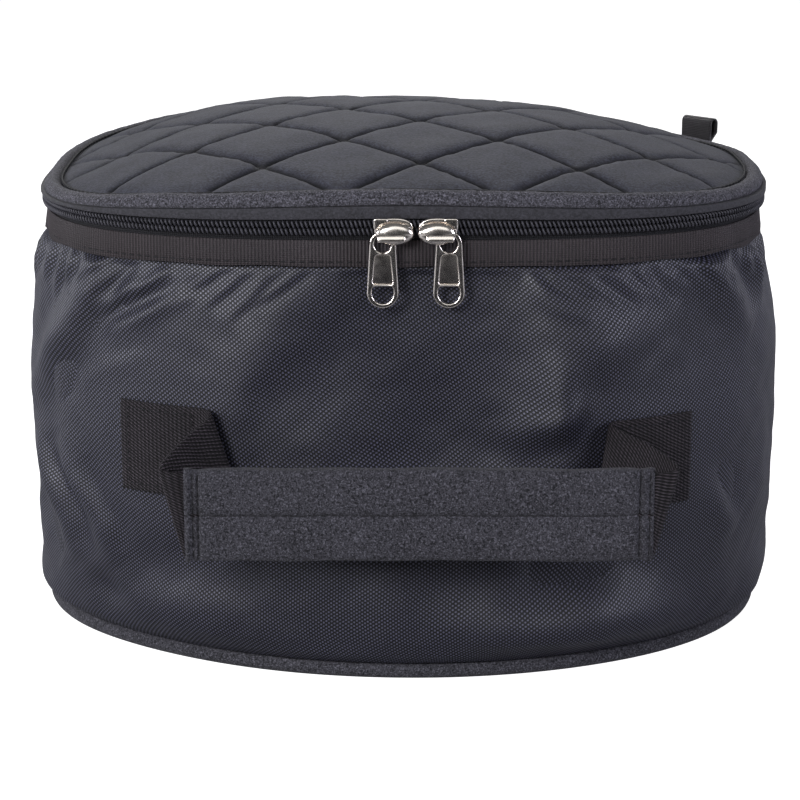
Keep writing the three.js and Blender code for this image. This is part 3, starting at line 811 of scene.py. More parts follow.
@dataclass(frozen=True)
class CordedCloth(Finish):
    """Tape or webbing: cords at a pitch along the cloth, crossed by a slanting twill."""

    cord: float = 1.43
    twill: float = 2.2
    slant: float = 0.0
    relief: float = 0.14
    ribbed: float = 0.5
    low: float = -0.75
    high: float = 0.6
    sway_size: float = 8.0
    fuzz_size: float = 0.8
    worn_size: float = 16.0

    def paint(self, book: NodeBook) -> dict[str, object]:
        """Cords and twill lines with a little fuzz.

        Args:
            book: The material's nodes.

        Returns:
            Inputs of the surface, by name.
        """
        u, v = book.cloth()
        sway = book.noise(self.sway_size, 1) * 0.8
        cords = ((u + sway * 0.2) * (FULL_TURN / self.cord)).cos()
        lines = ((u * self.slant + v + sway) * (FULL_TURN / self.twill)).cos()
        weave = cords * self.ribbed + lines * (1 - self.ribbed)
        fuzz = book.noise(self.fuzz_size, 3, 0.65)
        worn = book.noise(self.worn_size, 2) * 0.9 + 0.2
        tone = weave.between(self.low, self.high) * worn + fuzz * 0.35 - 0.15
        return {
            "Base Color": book.mix(tone.clipped(), self.dark, self.light),
            "Roughness": self.rough,
            "Normal": book.bump(weave + fuzz * 0.7, self.relief),
            "Specular IOR Level": 0.35,
        }


@dataclass(frozen=True)
class MouldedCoil(Finish):
    """Moulded thread of the zip's coil: dark and half glossy."""

    cloud_size: float = 3.0

    def paint(self, book: NodeBook) -> dict[str, object]:
        """Faint clouds.

        Args:
            book: The material's nodes.

        Returns:
            Inputs of the surface, by name.
        """
        cloud = book.noise(self.cloud_size, 2)
        return {
            "Base Color": book.mix(cloud, self.dark, self.light),
            "Roughness": cloud * 0.15 + self.rough,
            "Specular IOR Level": 0.3,
        }


@dataclass(frozen=True)
class PlatedMetal(Finish):
    """Polished plating with faint wear."""

    wear_size: float = 2.5
    ripple_size: float = 4.0
    relief: float = 0.05

    def paint(self, book: NodeBook) -> dict[str, object]:
        """Faint wear on bright metal.

        Args:
            book: The material's nodes.

        Returns:
            Inputs of the surface, by name.
        """
        wear = book.noise(self.wear_size, 3)
        return {
            "Base Color": book.mix(wear, self.dark, self.light),
            "Metallic": 1.0,
            "Roughness": wear * 0.14 + self.rough,
            "Normal": book.bump(book.noise(self.ripple_size, 1), self.relief),
        }


@dataclass(frozen=True)
class PlainStage(Finish):
    """The studio floor: pale and a little self-lit where it is seen, with a dark card in its mirror image."""

    glow: Colour = (0.95, 0.95, 0.95)
    cloud_size: float = 400.0
    card: Colour = (0.4, 0.4, 0.41)
    dark_card: Colour = (0.012, 0.012, 0.014)
    card_front: Span = (-0.3, -0.45)
    card_square_width: Span = (0.16, 0.06)

    def paint(self, book: NodeBook) -> dict[str, object]:
        """One floor for the camera and one for the metal.

        Args:
            book: The material's nodes.

        Returns:
            Inputs of the surface, by name.
        """
        paint = book.mix(book.noise(self.cloud_size, 1), self.dark, self.light)
        place = book.place("Object")
        aside = book.axis(place, "X")
        flagged = book.axis(place, "Y").between(*self.card_front)
        flagged = flagged * (aside * aside).between(*self.card_square_width)
        mirrored = book.mix(flagged, self.card, self.dark_card)
        return {
            "Base Color": book.mix(book.ray("Is Glossy Ray"), paint, mirrored),
            "Roughness": self.rough,
            "Specular IOR Level": 0.0,
            "Emission Color": book.mix(book.ray("Is Camera Ray"), (0.0, 0.0, 0.0), self.glow),
            "Emission Strength": 1.0,
        }


WOVEN = WovenCloth("woven_cloth", "woven", (0.003, 0.003, 0.004), (0.06, 0.0595, 0.099), 0.49)
FELT = FeltCloth("brushed_felt", "felt", (0.008, 0.008, 0.01), (0.116, 0.113, 0.136), 0.9)
# The grip's felt, painted lighter on the border for the light that falls on its upturned roll.
BORDER_FELT_PAINTED_LIGHTER = FeltCloth("border_felt_painted_lighter", "felt", (0.012, 0.012, 0.014), (0.17, 0.165, 0.198), 0.9)
# The grip's felt, painted lighter on the piping to make up for the shade of the wall that overhangs it.
PIPING_FELT_PAINTED_LIGHTER = FeltCloth("piping_felt_painted_lighter", "felt", (0.01, 0.01, 0.012), (0.128, 0.125, 0.148), 0.9)
QUILT = HeatheredCloth("quilt_cloth", "quilt", (0.006, 0.006, 0.008), (0.064, 0.067, 0.096), 0.8)
TRIM = HeatheredCloth("band_cloth", "trim", (0.014, 0.014, 0.016), (0.062, 0.06, 0.073), 0.75)
GROSGRAIN = CordedCloth(
    "ribbed_tape",
    "grosgrain",
    (0.016, 0.0135, 0.0145),
    (0.047, 0.037, 0.041),
    0.7,
    twill=0.9,
    ribbed=0.7,
    relief=0.16,
)
ZIP_CLOTH = CordedCloth(
    "zip_tape_weave", "zip_cloth", (0.004, 0.004, 0.005), (0.02, 0.02, 0.024), 0.85, cord=0.9, twill=0.9
)
COIL = MouldedCoil("coil_thread", "coil", (0.02, 0.02, 0.025), (0.066, 0.064, 0.078), 0.45)
WEBBING = CordedCloth(
    "twill_webbing",
    "webbing",
    (0.001, 0.0008, 0.001),
    (0.078, 0.064, 0.078),
    0.75,
    cord=1.9,
    twill=1.2,
    slant=0.45,
    relief=0.5,
    ribbed=0.35,
    low=-0.25,
    high=0.75,
)
RIBBON = CordedCloth(
    "satin_ribbon", "ribbon", (0.006, 0.005, 0.006), (0.05, 0.046, 0.05), 0.38, cord=0.8, twill=0.7
)
NICKEL = PlatedMetal("plated_metal", "nickel", (0.84, 0.77, 0.7), (0.93, 0.88, 0.82), 0.14)
THREAD = MouldedCoil("sewing_thread", "trim", (0.004, 0.004, 0.005), (0.014, 0.014, 0.017), 0.6)
FLOOR = PlainStage("pale_floor", "none", (0.5, 0.5, 0.5), (0.52, 0.52, 0.52), 0.9)


def settle(
    piece: bpy.types.Object, finish: Finish, nodes: Sequence[str], body: Body = Body.BAG
) -> bpy.types.Object:
    """Dresses a finished piece, hides the CAD nodes that it stands for, and lets it ride on its body.

    Args:
        piece: The finished piece, in place.
        finish: What it is covered with.
        nodes: CAD nodes that it replaces.
        body: The body that it moves with.

    Returns:
        The same piece.
    """
    finish.dress(piece)
    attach(piece, body.value)
    if nodes:
        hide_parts(*nodes)
    LOG.info("%s: %d faces on %s", piece.name, len(piece.data.polygons), body.value)
    return piece


@dataclass(frozen=True)
class Stitch:
    """One stitch of a row: its length, the space after it, and half its thread's thickness."""

    length: float
    gap: float
    radius: float = 0.3
    sides: int = 6
    capsule: tuple[Span, ...] = ((0.0, 0.45), (0.12, 0.9), (0.5, 1.0), (0.88, 0.9), (1.0, 0.45))

    def row(self, name: str, line: np.ndarray, out: np.ndarray) -> None:
        """Sews a row of stitches along a line on a surface, as one mesh of small capsules.

        Args:
            name: Name of the piece.
            line: Points along the seam in millimetres.
            out: Direction out of the surface, one for all or one at each point.
        """
        passed = travelled(line)
        out = np.broadcast_to(out, line.shape)
        count = int(passed[-1] / (self.length + self.gap))
        turns = (np.arange(self.sides) * FULL_TURN / self.sides)[:, None]
        sewn = Parcel()
        for start in (np.arange(count) + 0.5) * passed[-1] / count - self.length / 2:
            places = [start + share * self.length for share, _ in self.capsule]
            path = np.column_stack([np.interp(places, passed, line[:, k]) for k in range(3)])
            normal = np.array([np.interp(start, passed, out[:, k]) for k in range(3)])
            ahead = unit(path[-1] - path[0])
            side = unit(np.cross(ahead, normal))
            ring = self.radius * (np.cos(turns) * side + np.sin(turns) * np.cross(side, ahead))
            tube = np.array([point + fat * ring for point, (_, fat) in zip(path, self.capsule)])
            quads, _ = swept_faces(tube, False)
            first, last = end_rings(tube)
            sewn.add(tube.reshape(-1, 3), quads.tolist() + [first[::-1], last])
        settle(sewn.made(name), THREAD, [])


@dataclass(frozen=True)
class Fold:
    """A ridge, or a crease where push is negative, along points of run and height on the unrolled wall."""

    path: tuple[Span, ...]
    push: float
    width: float
    crisp: float = 2.0
    taper: float = 0.8

    def lift(self, run: np.ndarray, height: np.ndarray) -> np.ndarray:
        """How far the fold pushes each point of the cloth outwards.

        Args:
            run: Run of each point.
            height: Height of each point.

        Returns:
            Pushes in millimetres, which fade to nothing at both ends of the fold.
        """
        knots = np.array(self.path)
        passed = travelled(knots)
        nearest = np.full(run.shape, np.inf)
        along = np.zeros(run.shape)
        for start, end, before, span in zip(knots[:-1], knots[1:], passed[:-1], np.diff(passed)):
            heading = (end - start) / span
            reach = np.clip((run - start[0]) * heading[0] + (height - start[1]) * heading[1], 0, span)
            away = np.hypot(run - start[0] - reach * heading[0], height - start[1] - reach * heading[1])
            closer = away < nearest
            nearest = np.where(closer, away, nearest)
            along = np.where(closer, (before + reach) / passed[-1], along)
        faded = np.sin(math.pi * along).clip(0, 1) ** self.taper
        return self.push * faded * np.exp(-((nearest / self.width) ** self.crisp))


@dataclass(frozen=True)
class Dent:
    """A broad soft hollow of the wall, or a bulge where push is positive."""

    run: float
    height: float
    push: float
    wide: float
    tall: float

    def lift(self, run: np.ndarray, height: np.ndarray) -> np.ndarray:
        """How far the dent pushes each point of the cloth outwards."""
        across, upwards = (run - self.run) / self.wide, (height - self.height) / self.tall
        return self.push * gaussian(across) * gaussian(upwards)


@dataclass(frozen=True)
class Gather:
    """A run of short slanting puckers where the wall is drawn in under the tape."""

    first: float
    last: float
    count: int
    lean: float
    drop: float
    push: float
    top: float = 174.0
    bend: Span = (0.45, 0.5)
    width: float = 0.27
    crisp: float = 1.6

    def folds(self) -> list[Fold]:
        """Ridges and the creases between them, from the tape downwards.

        Returns:
            A ridge and a crease for each pucker, of uneven lengths.
        """
        found = []
        step = (self.last - self.first) / self.count
        for k, run in enumerate(np.linspace(self.first, self.last, self.count)):
            drop = self.drop * (0.75 + 0.5 * ((k * 7) % 5) / 4)
            for start, push in ((run, self.push), (run + 0.5 * step, -self.push)):
                bend = (start + self.bend[0] * self.lean, self.top - self.bend[1] * drop)
                path = ((start, self.top), bend, (start + self.lean, self.top - drop))
                found.append(Fold(path, push, self.width * abs(step), self.crisp))
        return found


WALL_FOLDS = (
    Fold(((-134, 186), (-139, 157), (-149, 142), (-165, 127), (-196, 98)), 4.4, 9),
    Fold(((-160, 168), (-166, 154), (-178, 138), (-194, 122)), -2.0, 9),
    Fold(((-119, 184), (-123, 157), (-133, 141), (-149, 126), (-176, 102)), -2.4, 10),
    Fold(((-186, 98), (-172, 71), (-161, 52), (-152, 36)), 4.2, 9),
    Fold(((-170, 92), (-158, 70), (-146, 52), (-138, 40)), -3.0, 6),
    Fold(((-158, 94), (-145, 74), (-132, 55), (-121, 42)), 4.2, 8),
    Fold(((-140, 88), (-128, 68), (-116, 50)), -2.2, 7),
    Fold(((-210, 54), (-188, 45), (-166, 34)), -3.0, 8),
    Fold(((-92, 171), (-115, 161), (-134, 151)), 1.8, 4),
    Fold(((-84, 163), (-108, 152), (-128, 143)), 1.8, 4),
    Fold(((-88, 167), (-112, 156), (-131, 147)), -1.5, 4),
    Fold(((-105, 136), (-122, 129), (-142, 120)), 1.2, 4),
    Fold(((-100, 141), (-120, 135), (-138, 127)), -0.8, 5),
    Fold(((116, 187), (129, 174), (144, 157), (166, 138)), 4.5, 8),
    Fold(((118, 170), (131, 155), (142, 142)), -1.6, 7),
    Fold(((146, 172), (158, 158), (168, 145)), -2.4, 7),
    Fold(((163, 175), (172, 165), (184, 149)), 3.4, 6),
    Fold(((82, 117), (98, 127), (120, 139)), 2.4, 6),
    Fold(((96, 112), (112, 120), (134, 130)), -2.1, 8),
    Fold(((122, 80), (140, 66), (160, 52)), 2.4, 7),
    Fold(((122, 92), (142, 76), (164, 62)), -1.8, 8),
    Fold(((52, 172), (62, 160), (74, 151)), 1.8, 5),
    Fold(((-20, 170), (-42, 150), (-62, 128), (-78, 108)), 2.2, 13),
    Fold(((2, 166), (-20, 142), (-42, 120), (-60, 104)), -2.4, 20),
    Fold(((38, 104), (60, 112), (86, 126)), 2.4, 6),
    Fold(((46, 94), (64, 100), (88, 112)), -2.2, 6),
    Fold(((-270, 168), (-282, 130), (-286, 90)), 2.8, 8, 1.5),
    Fold(((-300, 170), (-306, 130), (-300, 96)), -2.4, 9),
    Fold(((270, 168), (284, 128), (286, 84)), 2.8, 8, 1.5),
    Fold(((300, 170), (306, 132), (298, 92)), -2.4, 9),
    Fold(((-380, 168), (-392, 126), (-386, 80)), 2.4, 9, 1.5),
    Fold(((380, 168), (394, 124), (384, 76)), 2.4, 9, 1.5),
    Fold(((-420, 160), (-440, 110), (-430, 60)), -2.0, 14),
    Fold(((425, 160), (440, 108), (428, 56)), -2.0, 14),
    *Gather(-128, -40, 9, -24, 20, 0.7).folds(),
    *Gather(50, 126, 8, 20, 17, 0.9).folds(),
    *Gather(-240, -150, 9, -8, 20, 1.3).folds(),
    *Gather(160, 240, 8, 6, 20, 1.2).folds(),
    *Gather(-410, -260, 12, -8, 18, 0.8).folds(),
    *Gather(260, 410, 12, 8, 18, 0.8).folds(),
)
WALL_DENTS = (
    Dent(18, 90, -11.0, 34, 26),
    Dent(4, 124, -12.0, 50, 34),
    Dent(70, 124, 10.5, 23, 38),
    Dent(128, 134, -1.2, 18, 18),
    Dent(102, 130, -2.4, 11, 11),
    Dent(-88, 136, 1.6, 32, 26),
    Dent(-84, 24, 4.0, 34, 14),
    Dent(82, 24, 10.0, 46, 15),
    Dent(54, 52, -7.0, 42, 16),
    Dent(-85, 48, -3.0, 34, 14),
    Dent(0, 34, 2.5, 20, 24),
    Dent(68, 56, -2.4, 20, 10),
    Dent(-133, 26, -4.5, 14, 9),
    Dent(-190, 158, 1.2, 34, 16),
    Dent(190, 160, -2.6, 34, 14),
    Dent(-200, 24, -1.5, 40, 11),
    Dent(-200, 56, -2.0, 40, 12),
    Dent(205, 22, 0.6, 44, 12),
    Dent(460, 95, -2.4, 90, 40),
    Dent(-460, 95, -2.4, 90, 40),
)


@dataclass
class Drum:
    """The bag below the zip: woven wall, base board, felt piping and grosgrain tape.

    A hold is a pair of distances between which the cloth comes free of what holds it.
    """

    columns: int = 640
    board_columns: int = 240
    wall_thick: float = 2.0
    row_heights: tuple[float, float, float] = (30.0, 148.0, 174.0)
    row_counts: tuple[int, int, int] = (24, 74, 38)
    inner_step: int = 24
    wander: Ripple = Ripple(2.5, 24, 5)
    wander_rise: float = 0.6
    slack: Ripple = Ripple(0.6, 22, 11)
    crinkle: Ripple = Ripple(0.2, 8, 12)
    pucker: Ripple = Ripple(1.0, 4.5, 21)
    pucker_stretch: float = 0.25
    pucker_push: float = 1.1
    pucker_drop: float = 9.0
    pucker_plain: float = 0.25
    pucker_corners: tuple[Span, ...] = ((160.0, 46.0), (330.0, 60.0))
    pucker_hold: Span = (0.2, 2.5)
    tape_hold: Span = (0.2, 4.0)
    foot_hold: Span = (8.0, 18.0)
    sewn_hold: float = 0.9
    sewn_runs: tuple[Span, Span] = ((56.0, 78.0), (-150.0, -124.0))
    sewn_heights: tuple[Span, Span] = ((50.0, 74.0), (-146.0, -121.0))
    foot_corners: tuple[tuple[float, float, float], ...] = ((5.2, -185.0, 62.0), (3.8, 180.0, 72.0))
    foot_heights: Span = (7.0, 40.0)
    tape_low: float = 174.2
    tape_high: float = 185.0
    tape_face: float = -0.85
    tape_back: float = -2.0
    tape_round: float = 0.35
    tape_outer: Span = (-1.4, -0.9)
    tape_hang: Ripple = Ripple(1.0, 15, 31)
    tape_droop: Ripple = Ripple(1.0, 19, 32)
    hang_from: float = 180.0
    hang_plain: float = 0.6
    hang_half: float = 0.5
    droop_from: float = 178.0
    droop_plain: float = 0.45
    droop_sides: float = 0.4
    rib_pitch: float = 1.43
    rib_height: float = 0.09
    samples_per_rib: int = 4
    stitch: Stitch = Stitch(2.4, 1.4, 0.26)
    stitch_height: float = 2.0
    stitch_offset: float = -0.72
    stitch_follow: float = 0.55
    stitch_step: int = 6
    piping_radius: float = 3.4
    piping_sides: int = 20
    piping_tall: float = 1.02
    piping_flat: float = 0.1
    board_gap: float = 0.3
    board_thick: float = 3.0
    sections: tuple[tuple[float, float, float, float, float], ...] = (
        (7.3, 160.6, 139.6, 2.05, 2.35),
        (12, 164.4, 143.0, 2.12, 2.35),
        (26, 166.3, 145.2, 2.26, 2.4),
        (42, 167.0, 146.2, 2.36, 2.4),
        (60, 167.6, 147.0, 2.45, 2.4),
        (98, 167.8, 147.2, 2.55, 2.45),
        (126, 166.9, 145.4, 2.6, 2.45),
        (142, 165.0, 142.4, 2.7, 2.45),
        (158, 162.2, 139.2, 2.85, 2.45),
        (168, 159.2, 137.0, 3.0, 2.4),
        (173.2, 155.2, 136.0, 3.1, 2.4),
        (174, 154.2, 135.2, 3.15, 2.4),
        (181, 154.2, 135.2, 3.15, 2.4),
    )

    def section(self, height: float) -> Oval:
        """The wall's oval at a height, before its folds."""
        heights, *columns = np.array(self.sections).T
        return Oval(*(float(eased_table(np.array([height]), heights, column)[0]) for column in columns))

    def foot_swell(self, runs: np.ndarray) -> np.ndarray:
        """How far the foot stands out past its plain oval at its two front corners."""
        return sum(push * gaussian((runs - run) / wide) for push, run, wide in self.foot_corners)

    def marks(self, runs: np.ndarray, level: np.ndarray) -> np.ndarray:
        """Folds, dents and slackness of free cloth.

        Args:
            runs: Run of each point.
            level: Height of each point.

        Returns:
            How far each point is pushed outwards.
        """
        wander = self.wander.at(runs, level)
        places = (runs + wander, level + self.wander_rise * wander)
        total = sum(mark.lift(*places) for mark in (*WALL_FOLDS, *WALL_DENTS))
        return total + self.slack.at(runs, level) + self.crinkle.at(runs, level)

    def freedom(self, runs: np.ndarray, level: np.ndarray) -> np.ndarray:
        """How free the cloth is: not at the tape and at the foot, and little behind the sewn-on strap.

        Args:
            runs: Run of each point.
            level: Height of each point.

        Returns:
            0 where the cloth is held, and 1 where it is free.
        """
        free = smoothstep(self.tape_low - level, *self.tape_hold) * smoothstep(level, *self.foot_hold)
        sewn = self.sewn_hold
        for value, (rise, fall) in ((np.abs(runs), self.sewn_runs), (level, self.sewn_heights)):
            sewn = sewn * smoothstep(value, *rise) * smoothstep(-value, *fall)
        return free * (1 - sewn)

    def push(self, runs: np.ndarray, height: float) -> np.ndarray:
        """How far the wall is pushed out of its section at one height.

        Args:
            runs: Run of each point.
            height: Height of them all.

        Returns:
            Pushes of folds and dents, of puckers under the tape, and of the foot's corners.
        """
        level = np.full_like(runs, height)
        below = self.tape_low - height
        bells = (gaussian((np.abs(runs) - run) / wide) for run, wide in self.pucker_corners)
        pucker = self.pucker_push * sum(bells, self.pucker_plain)
        pucker = pucker * self.pucker.at(runs, level * self.pucker_stretch)
        pucker = pucker * np.exp(-below / self.pucker_drop)
        foot = self.foot_swell(runs) * (1 - smoothstep(level, *self.foot_heights))
        free = self.marks(runs, level) * self.freedom(runs, level)
        return free + pucker * smoothstep(below, *self.pucker_hold) + foot

    def wall(self) -> bpy.types.Object:
        """The woven wall: a dense outer face with its folds, and a plain inner face.

        Returns:
            The new object.
        """
        runs = PATH.around(self.columns)
        angle = PATH.angle(runs)
        low, high = self.sections[0][0], self.sections[-1][0]
        starts = (low, *self.row_heights[:2])
        bands = list(zip(starts, self.row_heights, self.row_counts))
        heights = [np.linspace(*band, endpoint=band is bands[-1]) for band in bands]
        heights = np.concatenate([*heights, [high]])
        levels = [(height, 0.0) for height in heights]
        levels += [(height, self.wall_thick) for height in (*heights[::-1][:: self.inner_step], low)]
        rings = []
        for height, inset in levels:
            x, y = self.section(height).at(angle, self.push(runs, height) - inset)
            rings.append(STANCE.level_ring(x, y, height))
        return swept_object("woven_wall", np.stack(rings, 1), True, runs)

    def tape(self) -> bpy.types.Object:
        """Grosgrain tape with a rib for every cord, its lower edge a little wavy.

        Returns:
            The new object.
        """
        columns = round(PATH.length / self.rib_pitch) * self.samples_per_rib
        runs = PATH.around(columns)
        profile = rounded_slab(self.tape_face, self.tape_back, self.tape_low, self.tape_high, self.tape_round)
        rings = np.repeat(profile[None], columns, axis=0)
        outer = smoothstep(profile[:, 0], *self.tape_outer)
        wave = np.cos(np.arange(columns) * FULL_TURN / self.samples_per_rib)
        rings[..., 0] += self.rib_height * wave[:, None] * outer
        hang = smoothstep(-profile[:, 1], -self.hang_from, -self.tape_low) * outer
        loose = self.hang_half * (1 + self.tape_hang.at(runs)) * (self.hang_plain + side_swell(runs))
        rings[..., 0] += loose[:, None] * hang
        droop = (self.droop_plain + self.droop_sides * side_swell(runs)) * self.tape_droop.at(runs)
        rings[..., 1] -= droop[:, None] * smoothstep(-profile[:, 1], -self.droop_from, -self.tape_low)
        self.tape_stitches(runs[:: self.stitch_step], loose[:: self.stitch_step])
        return swept_object("grosgrain_tape", rim_rings(runs, rings), True, runs)

    def tape_stitches(self, runs: np.ndarray, loose: np.ndarray) -> None:
        """Row of stitches that holds the tape to the wall.

        Args:
            runs: Runs along the row.
            loose: How far the tape's lower edge stands off at each run.
        """
        height = np.full_like(runs, self.tape_low + self.stitch_height)
        offset = self.stitch_offset + self.stitch_follow * loose
        line = rim_rings(runs, np.stack([offset, height], -1)[:, None])[:, 0]
        self.stitch.row("tape_stitches", line, unit(line * [1, 1, 0]))

    def piping(self) -> bpy.types.Object:
        """Felt roll round the base, flat where it stands on the floor.

        Returns:
            The new object.
        """
        runs = PATH.around(self.columns)
        rings = []
        for turn in np.arange(self.piping_sides) * FULL_TURN / self.piping_sides:
            offset = self.piping_radius * (math.cos(turn) - 1) + self.foot_swell(runs)
            z = max(self.piping_radius * (1 + self.piping_tall * math.sin(turn)), self.piping_flat)
            rings.append(STANCE.level_ring(*BASE.at(PATH.angle(runs), offset), z))
        return swept_object("base_piping_roll", np.stack(rings, 1), True)

    def board(self) -> bpy.types.Object:
        """Flat oval base inside the piping.

        Returns:
            The new object.
        """
        runs = PATH.around(self.board_columns)
        x, y = BASE.at(PATH.angle(runs), self.foot_swell(runs) - 2 * self.piping_radius - self.board_gap)
        rings = [STANCE.level_ring(x, y, z) for z in (0.0, self.board_thick)]
        return swept_object("base_oval", np.array(rings), False)

    def build(self) -> None:
        """Builds, dresses and settles every piece of the drum."""
        settle(self.wall(), WOVEN, ["body_wall"])
        settle(self.tape(), GROSGRAIN, ["rim_tape"])
        settle(self.piping(), PIPING_FELT_PAINTED_LIGHTER, ["base_piping"])
        settle(self.board(), WOVEN, ["base_board"])


@dataclass
class Lid:
    """The lid: quilted dome, felt border, plain band and a ribbon loop at the back right."""

    columns: int = 520
    diamond: float = 65.0
    start_x: float = 39.6
    start_y: float = -131.9
    cells: tuple[int, int] = (-6, 8)
    steps: tuple[float, ...] = (0, 0.25, 0.55, 0.95, 1.5, 2.3, 3.6, 5.6, 8.6, 12.6, 17.2, 21.6)
    border_width: float = 6.6
    seam: float = 201.8
    rise: float = 19.0
    curve: float = 2.2
    dome_reach: float = 1.06
    pad: float = 5.0
    draw: float = 3.1
    channel_widths: Span = (1.7, 9.0)
    channel_shares: Span = (0.86, 0.14)
    channel_crisp: float = 1.2
    flat_share: float = 0.6
    flat_depths: Span = (40.0, 115.0)
    edge_ease: Span = (-0.01, 0.05)
    edge_fill: float = 1.6
    panel_sink: float = 1.0
    panel_reach: float = 1.025
    lumps: Ripple = Ripple(0.5, 17, 41)
    puckers: Ripple = Ripple(0.28, 3.2, 43)
    quilting_stitch: Stitch = Stitch(2.6, 1.2)
    quilting_sink: float = 0.85
    quilting_reach: float = 0.985
    quilting_lines: tuple[int, int] = (-4, 7)
    quilting_places: tuple[float, float, int] = (-5, 7, 700)
    quilting_fewest: int = 40
    # Nearly gapless fat stitches: real stitching, and dark thread laid as painted shade along the border
    # seam.
    seam_stitch: Stitch = Stitch(3.4, 0.3, 0.62)
    seam_columns: int = 900
    seam_inset: float = 0.9
    seam_rise: float = 0.35
    border_points: int = 30
    border_swell: Ripple = Ripple(0.25, 26, 51)
    border_nap: Ripple = Ripple(0.12, 5, 52)
    border_top: Span = (198.0, 202.0)
    border_profile: tuple[Span, ...] = (
        (-0.9, 197.1), (-0.1, 197.8), (0.2, 199.0), (0.0, 200.4), (-0.8, 201.7), (-2.0, 202.6),
        (-3.6, 203.0), (-5.2, 202.7), (-6.4, 201.8), (-7.0, 200.4), (-6.6, 198.0), (-3.4, 197.2),
    )
    band_offsets: Span = (-0.3, -2.0)
    band_heights: Span = (192.4, 196.9)
    band_round: float = 0.5
    band_outer: Span = (-1.2, -0.4)
    band_swell: float = 2.1
    band_wave: Ripple = Ripple(0.15, 20, 61)
    loop_half_width: float = 9.0
    loop_half_thick: float = 0.45
    loop_points: int = 15
    bend_trim: float = 0.3
    bend_points: int = 7
    loop_at: float = 30.0
    loop_faces: float = 42.0
    loop_offset: float = 1.25
    loop_inner: tuple[Span, ...] = ((0.6, 192.3), (0.6, 193.9), (2.6, 196.6), (2.6, 203.6))
    loop_bend: tuple[float, float, float] = (4.85, 203.6, 2.25)
    loop_outer: tuple[Span, ...] = ((7.1, 203.6), (7.0, 199.4), (1.7, 194.2), (1.6, 192.3))

    def height(self, x: np.ndarray, y: np.ndarray) -> np.ndarray:
        """Height of the dome before its quilting."""
        share = np.minimum(RIM.share(x, y, self.border_width), self.dome_reach) ** self.curve
        return self.seam + self.rise * (1 - share) + STANCE.lift(x, y, np.full_like(x, self.seam))

    def stitched(self, place: np.ndarray) -> np.ndarray:
        """How deep the quilting lines draw the cloth in.

        Args:
            place: Place of each point across the lines, counted in diamonds.

        Returns:
            1 on a line, falling to 0 between two lines.
        """
        away = np.abs(place - np.round(place)) * self.diamond / math.sqrt(2)
        narrow = np.exp(-((away / self.channel_widths[0]) ** self.channel_crisp))
        broad = gaussian(away / self.channel_widths[1])
        return self.channel_shares[0] * narrow + self.channel_shares[1] * broad

    def depth(self, y: np.ndarray) -> np.ndarray:
        """How far the stitching draws the cloth down, less towards the back where the lid is pulled flat."""
        return self.draw * (1 - self.flat_share * smoothstep(y, *self.flat_depths))

    def quilted(self, p: np.ndarray, q: np.ndarray) -> tuple[np.ndarray, ...]:
        """The quilted dome at places that are counted in diamonds along both sets of lines.

        Args:
            p: Places along the lines that rise to the right.
            q: Places along the lines that fall to the right.

        Returns:
            X, Y and height, then how far the cloth is drawn in and how far it is from the edge, from 0 to 1.
        """
        x = self.start_x + self.diamond * (p + q) / 2
        y = self.start_y + self.diamond * (p - q) / 2
        drawn = 1 - (1 - self.stitched(p)) * (1 - self.stitched(q))
        edge = smoothstep(1 - RIM.share(x, y, self.border_width), *self.edge_ease)
        return x, y, self.height(x, y) - self.depth(y) * drawn * edge, drawn, edge

    def panel(self) -> bpy.types.Object:
        """Padded dome on a grid that follows the stitch lines, so that every channel is crisp.

        Returns:
            The new object.
        """
        half = [step / (self.diamond / math.sqrt(2)) for step in self.steps]
        inside = half + [1 - step for step in half[:0:-1]]
        knots = np.array([cell + share for cell in range(*self.cells) for share in inside])
        p, q = np.meshgrid(knots, knots, indexing="ij")
        x, y, z, drawn, edge = self.quilted(p, q)
        z = z + self.lumps.at(x, y) * (1 - drawn) * edge
        z += self.edge_fill * edge - self.panel_sink + self.puckers.at(x, y) * drawn * (1 - drawn) * 4 * edge
        index = np.arange(p.size).reshape(p.shape)
        corners = [index[:-1, :-1], index[1:, :-1], index[1:, 1:], index[:-1, 1:]]
        quads = np.stack(corners, -1).reshape(-1, 4)
        points = STANCE.twisted(x, y, z).reshape(-1, 3)
        plan = np.stack([x, y], -1).reshape(-1, 2)
        middle = plan[quads].mean(1)
        quads = quads[RIM.share(middle[:, 0], middle[:, 1], self.border_width) < self.panel_reach]
        used = np.unique(quads)
        place = np.full(len(points), -1)
        place[used] = np.arange(len(used))
        points, plan, quads = points[used], plan[used], place[quads]
        if newell(points[quads[0]])[2] < 0:
            quads = quads[:, ::-1]
        made = mesh_object("quilted_panel", points, quads.tolist(), plan[quads.ravel()])
        # How far each point is drawn into a channel, kept as the mask for shade painted into the quilt's
        # cloth.
        painted_channel_shade = made.data.attributes.new(PAINTED_SHADE_ATTRIBUTE, "FLOAT", "POINT")
        painted_channel_shade.data.foreach_set("value", (drawn * edge).ravel()[used].astype(np.float32))
        thick = made.modifiers.new("padding", "SOLIDIFY")
        thick.thickness = self.pad * MM
        thick.offset = -1
        return made

    def quilting(self) -> None:
        """Stitches along every quilting line long enough to show, at the bottom of its channel."""
        places = np.linspace(*self.quilting_places)
        for name in ("rising", "falling"):
            for number in range(*self.quilting_lines):
                fixed = np.full_like(places, number)
                x, y, z, _, edge = self.quilted(*((places, fixed) if name == "rising" else (fixed, places)))
                inside = RIM.share(x, y, self.border_width) < self.quilting_reach
                if inside.sum() < self.quilting_fewest:
                    continue
                line = STANCE.twisted(x, y, z + self.edge_fill * edge - self.quilting_sink)[inside]
                self.quilting_stitch.row(f"quilting_{name}_{number + 5}", line, UPWARDS)

